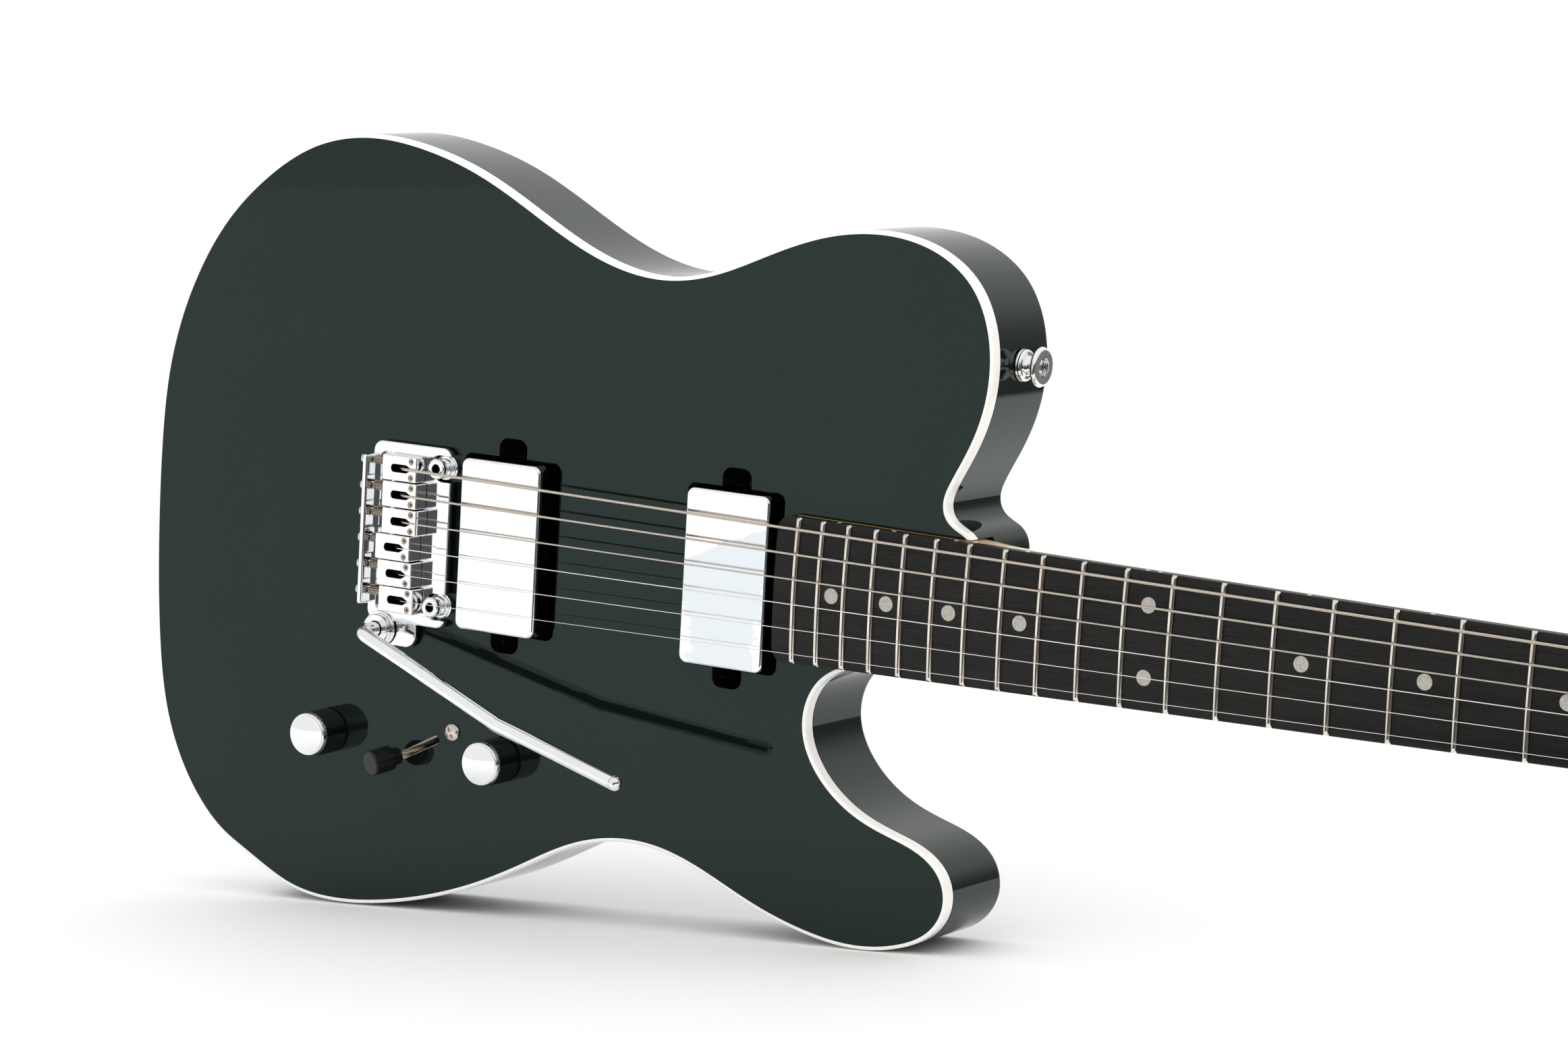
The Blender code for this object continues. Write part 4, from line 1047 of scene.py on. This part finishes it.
def make_saddle(number):
    front = saddle_front(number)
    low, high = span(f"saddle_{number}")
    back = front - SADDLE_LENGTH
    z = string_z(number, STRING_PITCH_BRIDGE)
    top = high[1]
    outline = rectangle(back, front, z - 5.15, z + 5.15, 0.6, steps=3)
    block = slab(outline, low[1], top, top=0.45, bottom=0.2)
    slot = rounded([
        (back + 4.4, z - 1.7, 1.5), (back + 12, z - 1.7, 0.5), (back + 14.6, z - 0.15, 0),
        (back + 14.6, z + 0.15, 0), (back + 12, z + 1.7, 0.5), (back + 4.4, z + 1.7, 1.5),
    ])
    wells, hexes = [], []
    profile = [(0, -0.6), (0.72, -0.6), (0.72, 1.1), (1.1, 1.1), (1.28, 0.9), (1.28, -4), (0, -4)]
    for side in (-1, 1):
        well_x, well_z = front - HEX_SCREW_INSET, z + side * HEX_SCREW_SPREAD
        wells.append(rod((well_x, 6, well_z), (well_x, 16, well_z), 1.35))
        hexes.append(turned(profile, (well_x, top - 1.3, well_z), sides=24))
    screw_z = intonation_z(number)
    screw = rod((-24, SCREW_HEIGHT, screw_z), (back + 3, SCREW_HEIGHT, screw_z), 1.4)
    node = f"saddle_{number}"
    piece(f"{node}_block", block, chrome, node, "tremolo",
          cutters=[slab(slot, 2, 20), *wells, screw])
    # A dark lining down the slot's walls: painted shade inside the slot, and dull unplated steel deep in it
    lining = slot_wall(slot, low[1] + 0.2, top - 0.5, 0.12)
    piece(f"{node}_well_wall", lining, black_steel, node, "tremolo", cutters=[screw])
    piece(f"{node}_hex_screws", merge(*hexes), tan_steel, node, "tremolo")
    profile = [(0, 26.2), (1.05, 26.0), (1.05, 1.6), (1.9, 1.5), (1.925, 0.748), (1.9, 0.4),
               (1.2, -0.2), (0, -0.3)]
    points, faces = turned(profile, (-25.0, SCREW_HEIGHT, screw_z), (1, 0, 0), 20)
    points[:, 0] = np.minimum(points[:, 0], back + 2.5)
    piece(f"{node}_long_screw", (points, faces), steel, node, "tremolo")
    start, end = (-19.2, SCREW_HEIGHT, screw_z), (back - 0.2, SCREW_HEIGHT, screw_z)
    spring = coil(start, end, 1.3, 0.24, (back + 19.2) / 0.85, 14)
    piece(f"{node}_spring", spring, tan_steel, node, "tremolo", sharp=80)


def slot_wall(slot, low, high, thickness):
    """A thin lining down the side of a slot's outline."""
    inner = inset(slot, thickness)
    return skin([level(slot, low), level(slot, high), level(inner, high), level(inner, low)], closed=True)


def make_stud(name):
    x, _, z = middle(f"{name}_pivot_stud")
    profile = ([(0, 4.2), (2.0, 4.2), (2.0, 7.3), (2.5, 7.5)] + arc(3.2, 6.6, 0.9, 90, 0)
               + [(4.1, 5.7), (3.8, 5.1), (3.3, 4.5), (3.2, 2.8)] + arc(3.5, 2.1, 0.5, 90, -30)
               + [(4.0, 0.9), (4.2, 0.2), (4.2, -20), (0, -20)])
    piece(f"{name}_stud_metal", turned(profile, (x, 0, z)), chrome, f"{name}_pivot_stud")
    key = turned([(0, 4.5), (1.95, 4.5), (1.95, 7.2), (2.25, 7.2), (2.25, 4.3), (0, 4.3)], (x, 0, z),
                 sides=6)
    piece(f"{name}_stud_socket", key, black_steel, f"{name}_pivot_stud")
    profile = [(0, 0.9)] + arc(4.6, 0.3, 0.5, 90, 0) + [(5.6, 0.1), (5.6, 0.02), (0, 0.02)]
    flange = turned(profile, (x, 0, z))
    piece(f"{name}_stud_bush", flange, chrome, f"{name}_pivot_stud")


def make_arm():
    x, z = arm_centre()
    corners = [(x, 1.7, z), (x, ARM_CORNER, z), ARM_BEND, ARM_END]
    path = bent_path(corners, 7.0)
    direction = (path[-1] - path[-2]) / np.linalg.norm(path[-1] - path[-2])
    radii = [ARM_RADIUS] * len(path)
    path[-1] = path[-1] - direction * 3.4
    dome = [(2.4 * (1 - sin(turn)), 2.9 * cos(turn)) for turn in np.linspace(0, 0.45 * pi, 8)]
    for back, radius in ((3.35, 2.65), (2.6, 2.6), (2.5, 2.85), *dome):
        path.append(np.array(ARM_END) - direction * back)
        radii.append(radius)
    piece("arm_bar", sweep(path, radii, sides=28), arm_chrome, "tremolo_arm", "arm", sharp=50)


def make_tremolo():
    make_plate()
    for number in range(1, 7):
        make_saddle(number)
    make_arm()
    make_stud("bass")
    make_stud("treble")
    low, high = span("tremolo_block")
    block = slab(box_outline(low, high, 1.2), low[1], high[1], top=0.5, bottom=0.8)
    bores = []
    for number in range(1, 7):
        x, z = saddle_front(number) - STRING_RISE, string_z(number, STRING_PITCH_BRIDGE)
        bores.append(rod((x, low[1] - 2, z), (x, high[1] + 2, z), 1.8))
        bores.append(rod((x, low[1] - 2, z), (x, low[1] + 12, z), 2.6))
    piece("sustain_block", block, cast_steel, "tremolo_block", "tremolo", cutters=bores)
    for number in (1, 2, 3):
        make_spring(number)
    make_claw()


def make_spring(number):
    node = f"tremolo_spring_{number}"
    _, h, z = middle(node)
    start, end = (corner[0] for corner in span(node))
    radius, wire, turns = 3.2, 0.6, 40
    path = [(start, h, z), (start + 3.5, h, z)]
    for t in np.linspace(0, 1, turns * 14 + 1):
        turn = 2 * pi * turns * t
        path.append((start + 6 + (end - start - 14) * t, h + radius * sin(turn), z + radius * cos(turn)))
    path += [(end - 5, h, z), (end, h, z)]
    piece(f"{node}_wire", sweep(path, wire, 8), steel, node, sharp=80)


def make_claw():
    plate = slab(rectangle(CLAW_X, CLAW_X + 2, -25, 25, 0.5), -41, -29.5, top=0.3, bottom=0.3)
    head_x = CLAW_X - 3.0
    length = span("spring_claw")[1][0] - head_x
    profile = [(0, length), (2, length - 2), (2, 3), (3.6, 3), (3.6, 1), (3.0, 0.2), (1.0, 0), (0, 0.8)]
    screws = [turned(profile, (head_x, -35, z), (1, 0, 0)) for z in (-8, 8)]
    piece("claw_plate", plate, steel, "spring_claw")
    piece("claw_screws", merge(*screws), steel, "spring_claw")


# ---------------------------------------------------------------- controls

def knurl(radius, low, high, rows=17, depth=0.36):
    """A band of small pyramids, as rings from the top down."""
    rings = []
    for row, h in enumerate(np.linspace(high, low, rows)):
        ring = []
        for column in range(KNOB_SIDES):
            turn = 2 * pi * column / KNOB_SIDES
            r = radius if (row + column) % 2 == 0 else radius - depth
            ring.append((r * cos(turn), h, r * sin(turn)))
        rings.append(np.array(ring))
    return rings


def circle_ring(radius, h):
    turns = np.arange(KNOB_SIDES) * 2 * pi / KNOB_SIDES
    return np.column_stack((radius * np.cos(turns), np.full(KNOB_SIDES, h), radius * np.sin(turns)))


def make_knob(name):
    high = span(f"{name}_knob")[1]
    x, _, z = joint_place(f"{name}_turn")
    radius = high[0] - x
    top = high[1]
    profile = [(0.4, top)] + [(r, top - 1.5 * (r / 8.2) ** 2) for r in np.linspace(1.5, 7.9, 9)]
    profile += arc(7.9, top - 2.3, 0.75, 85, 15, 5)
    profile += [(radius - 0.35, top - 2.75), (radius - 0.3, top - 3.0)]
    skirt = [(radius - 0.3, 1.5), (radius - 0.3, 1.0), (radius - 0.6, 0.8),
             (7.6, 0.8), (7.6, 4.5), (3.0, 4.5), (3.0, -13.5)]
    rings = [circle_ring(r, h) for r, h in profile]
    rings += knurl(radius, 1.9, KNURL_TOP)
    rings += [circle_ring(r, h) for r, h in skirt]
    points, faces = skin(rings)
    piece(f"{name}_knob_metal", (points + (x, 0, z), faces), knob_chrome, f"{name}_knob", name,
          sharp=24)


def make_pot(name):
    bottom = span(f"{name}_pot")[0][1]
    x, _, z = joint_place(f"{name}_turn")
    profile = [(3.3, 0.5), (4.6, 0.4), (4.6, CONTROL_ROOF)] + arc(11.2, CONTROL_ROOF - 0.8, 0.8, 90, 0)
    profile += [(12, bottom + 0.8), (11.2, bottom), (3.3, bottom)]
    piece(f"{name}_pot_can", turned(profile, (x, 0, z)), steel, f"{name}_pot")
    lugs = []
    for lug_x in (x - 5, x, x + 5):
        outline = rectangle(lug_x - 1.2, lug_x + 1.2, z + 11.5, z + 17, 0.6)
        lugs.append(slab(outline, CONTROL_ROOF - 8.4, CONTROL_ROOF - 7.8))
    piece(f"{name}_pot_lugs", merge(*lugs), brass, f"{name}_pot")


def phillips(base_h, radius, drop=1.0, rise=1.7):
    """A rounded screw head at the origin, and the two cutters of its cross."""
    profile = [(0, base_h + rise)]
    profile += [(radius * sin(t), base_h + rise * cos(t)) for t in np.linspace(0.2, pi / 2, 7)]
    profile += [(radius * 0.45, base_h), (radius * 0.45, base_h - 7), (0, base_h - 7)]
    long, short = radius * 0.70, radius * 0.16
    bars = []
    for x, z in ((long, short), (short, long)):
        bars.append(slab([(-x, -z), (x, -z), (x, z), (-x, z)], base_h + rise - drop, base_h + rise + 1))
    return turned(profile, sides=32), bars


def shifted(shape, offset):
    return shape[0] + np.array(offset, float), shape[1]


def make_switch():
    body = slab(rectangle(-22, 22, -5.5, 5.5, 0.8), -24, CONTROL_ROOF, top=0.3)
    window = slab(rectangle(-15, 15, -2.2, 2.2, 0.4), -22, 0)
    piece("switch_chassis", body, steel, "switch_frame", cutters=[window], local=SWITCH)
    for side, x in (("left", -SWITCH_SCREW_X), ("right", SWITCH_SCREW_X)):
        head, bars = phillips(0.3, 3.6)
        piece(f"switch_screw_{side}", shifted(head, (x, 0, 0)), screw_nickel, "switch_frame",
              cutters=[shifted(bar, (x, 0, 0)) for bar in bars], local=SWITCH)
    pivot = SWITCH @ placed((0, SWITCH_PIVOT, 0), -SWITCH_LEAN, "Z")
    blade = slab(rectangle(-1.9, 1.9, -0.65, 0.65, 0.3), -3, 24, top=0.2)
    piece("switch_blade", blade, blade_nickel, "switch_lever", "selector", local=pivot)
    lining = slot_wall(rectangle(*SWITCH_SLOT, 1.6), -5.9, -0.4, 0.15)
    piece("selector_slot_wall", lining, bone, "body_shell", local=SWITCH)
    profile = [(0, 34.5), (3.9, 34.4)] + arc(4.3, 33.6, 0.85, 80, 0) + [(5.15, 25.4)]
    profile += arc(4.5, 25.0, 0.6, 0, -80)
    profile += [(4.0, 23.9), (3.6, 23.2), (3.55, 21.1), (3.2, 20.6), (0, 20.6)]
    piece("switch_cap", turned(profile), tip_plastic, "switch_lever", "selector", local=pivot)


def strap_profile():
    """A strap button from its flat end down to the body."""
    return ([(0, 7.4), (3.3, 7.4), (3.8, 9.5)] + arc(6.2, 8.4, 1.3, 90, 0) + arc(6.5, 8.2, 1.2, 0, -60)
            + [(6.2, 6.9), (4.8, 6.2), (3.8, 5.3), (3.5, 4.2), (3.9, 3.0)] + arc(4.9, 1.6, 1.3, 80, -20)
            + [(6.3, 0.8), (6.3, 0.3), (2.1, 0.3), (2.1, -22), (0, -24)])


def make_strap_button(name, base_x, axis):
    base = (base_x, *middle(f"{name}_strap_button")[1:])
    node = f"{name}_strap_button"
    piece(f"{name}_button_metal", turned(strap_profile(), base, axis), chrome, node)
    head, bars = phillips(7.6, 2.9, drop=1.3)
    piece(f"{name}_button_screw", aim(head, base, axis), screw_nickel, node,
          cutters=[aim(bar, base, axis) for bar in bars])


def make_jack():
    plate = slab(rectangle(-15, 15, -17, 17, 4, steps=8), 0.3, 2.3, top=0.6)
    profile = [(3.25, 4.2)] + arc(4.7, 3.7, 0.5, 90, 0)
    profile += [(5.2, 2.0), (4.8, 2.0), (4.8, -24), (3.25, -24)]
    nut = turned([(3.3, 3.6), (6.2, 3.6), (7.0, 3.1), (7.0, 2.3), (3.3, 2.3)], sides=6)
    to_edge = JACK @ Matrix.Rotation(radians(90), 4, "X")
    piece("jack_plate_metal", plate, chrome, "output_jack",
          cutters=[rod((0, -1, 0), (0, 5, 0), 4.75)], local=to_edge)
    piece("jack_socket", turned(profile), steel, "output_jack", local=to_edge)
    piece("jack_nut", nut, chrome, "output_jack", local=to_edge)
    for i, (x, z) in enumerate(((-11.3, -13.3), (11.3, -13.3), (-11.3, 13.3), (11.3, 13.3))):
        head, bars = phillips(2.0, 2.2, rise=0.9)
        piece(f"jack_screw_{i + 1}", shifted(head, (x, 0, z)), screw_nickel, "output_jack",
              cutters=[shifted(bar, (x, 0, z)) for bar in bars], local=to_edge)


def make_back():
    for name, radius, margin in (("spring_cover", 8, 4.5), ("control_cover", 14, 6.0)):
        low, high = span(name)
        shape = slab(box_outline(low, high, radius, steps=10), low[1], high[1], bottom=0.4)
        piece(f"{name}_sheet", shape, black_plastic, name)
        heads = [(x, z) for x in (low[0] + margin, high[0] - margin)
                 for z in (low[2] + margin, high[2] - margin)]
        x = (low[0] + high[0]) / 2
        heads += [(x, low[2] + 3.6), (x, high[2] - 3.6)]
        for i, (x, z) in enumerate(heads):
            back_screw(f"{name}_screw_{i + 1}", x, z, 2.5, name)
    low, high = span("neck_plate")
    plate = slab(box_outline(low, high, 6, steps=10), -BODY_DEPTH, -42.2, bottom=0.5)
    piece("neck_plate_metal", plate, chrome, "neck_plate")
    for i, (x, z) in enumerate(((200.5, -18.5), (200.5, 18.5), (239.5, -18.5), (239.5, 18.5))):
        back_screw(f"neck_plate_screw_{i + 1}", x, z, 4.1, "neck_plate")


def back_screw(name, x, z, radius, node):
    head, bars = phillips(0.0, radius, drop=1.1, rise=0.32 * radius)
    base = (x, -BODY_DEPTH + 0.2, z)
    piece(name, aim(head, base, (0, -1, 0)), screw_nickel, node,
          cutters=[aim(bar, base, (0, -1, 0)) for bar in bars])


# ---------------------------------------------------------------- tuners

def tuner_line_turn():
    x_low, z_low = post_position(6)
    x_high, z_high = post_position(1)
    return atan2(z_low - z_high, x_high - x_low)


def make_tuner(number):
    x, z = post_position(number)
    mount = HEADSTOCK @ placed((x, 0, z), tuner_line_turn(), "Y")
    back = -HEADSTOCK_THICKNESS - 0.3
    housing = f"tuner_housing_{number}"
    outline = rectangle(-7.6, 12.0, -8.0, 8.0, 3.5)
    case = slab(outline, back - CASE_DEPTH, back, top=0.4, bottom=2.4, steps=6)
    bores = [rod((0, -21, 0), (0, 3, 0), 5.4), rod((*WORM_PLACE, -6.3), (*WORM_PLACE, 12), 2.7)]
    piece(f"{housing}_case", case, chrome, housing, cutters=bores, local=mount)
    bush = turned([(3.2, 2.6), (4.6, 2.6)] + arc(4.9, 2.2, 0.4, 90, 0) + [(5.3, back - 1), (3.2, back - 1)])
    piece(f"{housing}_bush", bush, chrome, housing, local=mount)
    nut = turned([(5.0, 2.2), (6.6, 2.2), (7.1, 1.8), (7.1, 0.9), (5.0, 0.9)], sides=6)
    washer = turned([(5.0, 0.9), (7.4, 0.9), (7.7, 0.6), (7.7, 0.05), (5.0, 0.05)])
    piece(f"{housing}_nut", merge(nut, washer), chrome, housing, local=mount)
    post = turned([(0, 13.6), (1.2, 13.6), (1.4, 14.0)] + arc(2.5, 13.5, 0.5, 90, 0)
                  + [(3.0, 11.4), (2.9, 11.0), (2.5, 10.0), (2.4, 7.5), (2.5, 5.6), (3.0, 4.4), (3.0, -17.5),
                     (5.0, -17.5), (5.0, -20.1), (0, -20.1)])
    piece(f"tuner_post_{number}_metal", post, chrome, f"tuner_post_{number}", f"post_{number}",
          cutters=[rod((-6, 7.4, 0), (6, 7.4, 0), 0.8, sides=16)], local=mount)
    pivot = mount @ Matrix.Translation(to_metres((*WORM_PLACE, 0)))
    profile = [(0, 20), (2.1, 20), (2.1, 14)] + arc(2.6, 13.2, 0.8, 90, -60)
    profile += [(2.3, 12.2), (2.3, -5.9), (0, -5.9)]
    stem = turned(profile, (0, 0, 0), (0, 0, 1), 32)
    piece(f"tuner_button_{number}_metal", merge(stem, kidney()), chrome, f"tuner_button_{number}",
          f"button_{number}", local=pivot)


def kidney():
    """The button's head: a flattened, slightly waisted oval in the x-z plane."""
    rings = []
    for turn in np.linspace(-pi / 2 + 0.08, pi / 2 - 0.08, 15):
        share = cos(turn) ** 0.7
        ring = []
        for angle in np.linspace(0, 2 * pi, 49)[:-1]:
            reach_x = 8.6 * share * cos(angle)
            reach_z = 7.6 * share * sin(angle)
            if angle < pi:
                reach_z -= 1.0 * share * sin(angle) ** 6
            ring.append((reach_x, 4.0 * sin(turn), 22.5 + reach_z))
        rings.append(ring)
    return skin(rings)


# ---------------------------------------------------------------- stage

def make_floor():
    bm = bmesh.new()
    corners = [bm.verts.new((x * FLOOR_REACH, y * FLOOR_REACH, -0.0005))
               for x, y in ((-1, -1), (1, -1), (1, 1), (-1, 1))]
    bm.faces.new(corners)
    mesh = bpy.data.meshes.new("floor")
    bm.to_mesh(mesh)
    bm.free()
    floor = bpy.data.objects.new("floor", mesh)
    bpy.context.scene.collection.objects.link(floor)
    paint = Paint("floor_white", roughness=0.6, specular_ior_level=0.2)
    # For mirrored rays only, the floor's colour is painted dark on the right, and from nearer in front: a
    # painted reflection of a dark room in the chrome
    place = paint.node("ShaderNodeSeparateXYZ", {0: paint.node("ShaderNodeNewGeometry").outputs["Position"]})
    mirrored = paint.node("ShaderNodeLightPath").outputs["Is Glossy Ray"]
    right = paint.band(place.outputs[0], RIGHT_PAINTED_REFLECTION_EDGE, RIGHT_PAINTED_REFLECTION_EDGE + 0.06)
    painted_dark_near = paint.band(place.outputs[0], NEAR_PAINTED_REFLECTION_EDGES[0], NEAR_PAINTED_REFLECTION_EDGES[0] + 0.02)
    in_front = paint.band(place.outputs[1], NEAR_PAINTED_REFLECTION_EDGES[1] - 0.02, NEAR_PAINTED_REFLECTION_EDGES[1], 1.0, 0.0)
    painted_dark_near = paint.sum(painted_dark_near, in_front, "MULTIPLY")
    colour = paint.mix(paint.sum(right, mirrored, "MULTIPLY"), (0.92, 0.92, 0.92), (0.10, 0.10, 0.10))
    colour = paint.mix(paint.sum(painted_dark_near, mirrored, "MULTIPLY"), colour, (0.03, 0.03, 0.03))
    paint.set("Base Color", colour)
    floor.data.materials.append(paint.material)


def make_world():
    """White all round. Mirrors show it fall to a dark horizon on the side that the right-hand walls face."""
    world = bpy.data.worlds.new("studio")
    world.use_nodes = True
    bpy.context.scene.world = world
    tree = world.node_tree

    def node(kind, inputs=None, output=0, **settings):
        return add_node(tree, kind, inputs, **settings).outputs[output]

    direction = node("ShaderNodeTexCoord", output="Generated")
    height = node("ShaderNodeSeparateXYZ", {0: direction}, output=2)
    facing = node("ShaderNodeVectorMath", {0: direction, 1: DARK_SIDE}, "Value", operation="DOT_PRODUCT")
    above = node("ShaderNodeMapRange", {0: height, 1: DARK_TOP, 2: 0.0, 3: 0.0, 4: 1.0},
                 interpolation_type="SMOOTHSTEP")
    beside = node("ShaderNodeMapRange", {0: facing, 1: 0.0, 2: 0.55, 3: 0.0, 4: 1.0},
                  interpolation_type="SMOOTHSTEP")
    shade = node("ShaderNodeMath", {0: above, 1: beside}, operation="MULTIPLY")
    behind = node("ShaderNodeSeparateXYZ", {0: direction}, output=1)
    dark = node("ShaderNodeMapRange", {0: behind, 1: 0.1, 2: 0.7, 3: DARK_LIGHT, 4: BACK_LIGHT},
                interpolation_type="SMOOTHSTEP")
    light = node("ShaderNodeMix", {0: shade, 2: WALL_LIGHT, 3: dark}, data_type="FLOAT")
    mirrored = node("ShaderNodeLightPath", output="Is Glossy Ray")
    light = node("ShaderNodeMix", {0: mirrored, 2: 1.0, 3: light}, data_type="FLOAT")
    world.cycles.sampling_method = "NONE"
    tree.links.new(light, tree.nodes["Background"].inputs["Strength"])
    tree.nodes["Background"].inputs["Color"].default_value = (1.0, 1.0, 1.0, 1.0)


def make_sky_light():
    """Soft light from overhead, as from a white ceiling: it lifts the floor to white and is no highlight."""
    data = bpy.data.lights.new("ceiling", "SUN")
    data.energy = SKY_LIGHT
    data.angle = radians(100)
    lamp = bpy.data.objects.new("ceiling", data)
    bpy.context.scene.collection.objects.link(lamp)
    lamp.rotation_euler = (radians(10), radians(-8), 0)
    lamp.visible_glossy = False


def make_camera():
    data = bpy.data.cameras.new("camera")
    data.lens = CAMERA_LENS
    data.sensor_width = SENSOR_WIDTH
    data.sensor_fit = "HORIZONTAL"
    data.clip_start, data.clip_end = 0.05, 60.0
    camera = bpy.data.objects.new("camera", data)
    bpy.context.scene.collection.objects.link(camera)
    place = GUITAR @ to_metres(CAMERA_PLACE)
    look = (GUITAR @ to_metres(CAMERA_AIM) - place).to_track_quat("-Z", "Y")
    camera.location = place
    camera.rotation_euler = (look.to_matrix() @ Matrix.Rotation(CAMERA_ROLL, 3, "Z")).to_euler()
    bpy.context.scene.camera = camera


# ---------------------------------------------------------------- the guitar

GUITAR = guitar_matrix()
SWITCH = placed(switch_centre(), SWITCH_ANGLE, "Y")
JACK = placed(JACK_PLACE, JACK_ANGLE, "Y")
HEADSTOCK = placed((NUT_FRONT, BOARD_BOTTOM - 0.3, 0), HEADSTOCK_ANGLE, "Z")

black = lacquer()
amber = maple()
bone = plastic("bone", (0.78, 0.74, 0.64), 0.25)
chrome = metal("chrome", (0.90, 0.91, 0.92), 0.045)
arm_chrome = metal("arm_chrome", (0.88, 0.89, 0.90), 0.05, wear=0.05)
knob_chrome = knurled_chrome()
steel = metal("zinc_steel", (0.62, 0.62, 0.62), 0.22, wear=0.1)
cast_steel = metal("cast_block", (0.42, 0.42, 0.43), 0.4, wear=0.15)
tan_steel = metal("hex_screw_steel", (0.62, 0.52, 0.42), 0.25, wear=0.1)
blade_nickel = metal("blade_nickel", (0.70, 0.60, 0.48), 0.18, tint=(0.60, 0.48, 0.36), wear=0.08)
black_steel = metal("black_oxide", (0.05, 0.05, 0.055), 0.3, wear=0.1)
screw_nickel = metal("screw_nickel", (0.74, 0.70, 0.66), 0.14, tint=(0.62, 0.53, 0.46), wear=0.08)
brass = metal("brass", (0.72, 0.54, 0.30), 0.22, tint=(0.55, 0.38, 0.2), wear=0.12)
black_plastic = plastic("black_plastic", (0.012, 0.012, 0.013), 0.38, grain=0.01)
tip_plastic = plastic("tip_plastic", (0.004, 0.005, 0.005), 0.16, shine=0.22)
plain_wire = metal("plain_wire", (0.88, 0.86, 0.82), 0.16, tint=(0.80, 0.75, 0.67), wear=0.06)
wires = {number: plain_wire for number in (1, 2, 3)}
for number, pitch in ((4, 0.22), (5, 0.30), (6, 0.38)):
    wires[number] = wound(f"wound_wire_{number}", pitch)

make_body()
make_neck()
make_fingerboard()
make_nut()
make_pickup("bridge", chrome)
make_pickup("neck", filmed_chrome(*span("neck_pickup_cover")))
make_tremolo()
for number in range(1, 7):
    make_string(number)
    make_tuner(number)
for name in ("volume", "tone"):
    make_knob(name)
    make_pot(name)
make_switch()
make_strap_button("upper", STRAP_UPPER_X, (1, 0, 0))
make_strap_button("lower", STRAP_LOWER_X, (-1, 0, 0))
make_jack()
make_back()

make_floor()
make_world()
make_sky_light()
make_camera()
bpy.context.scene.view_settings.view_transform = "Standard"
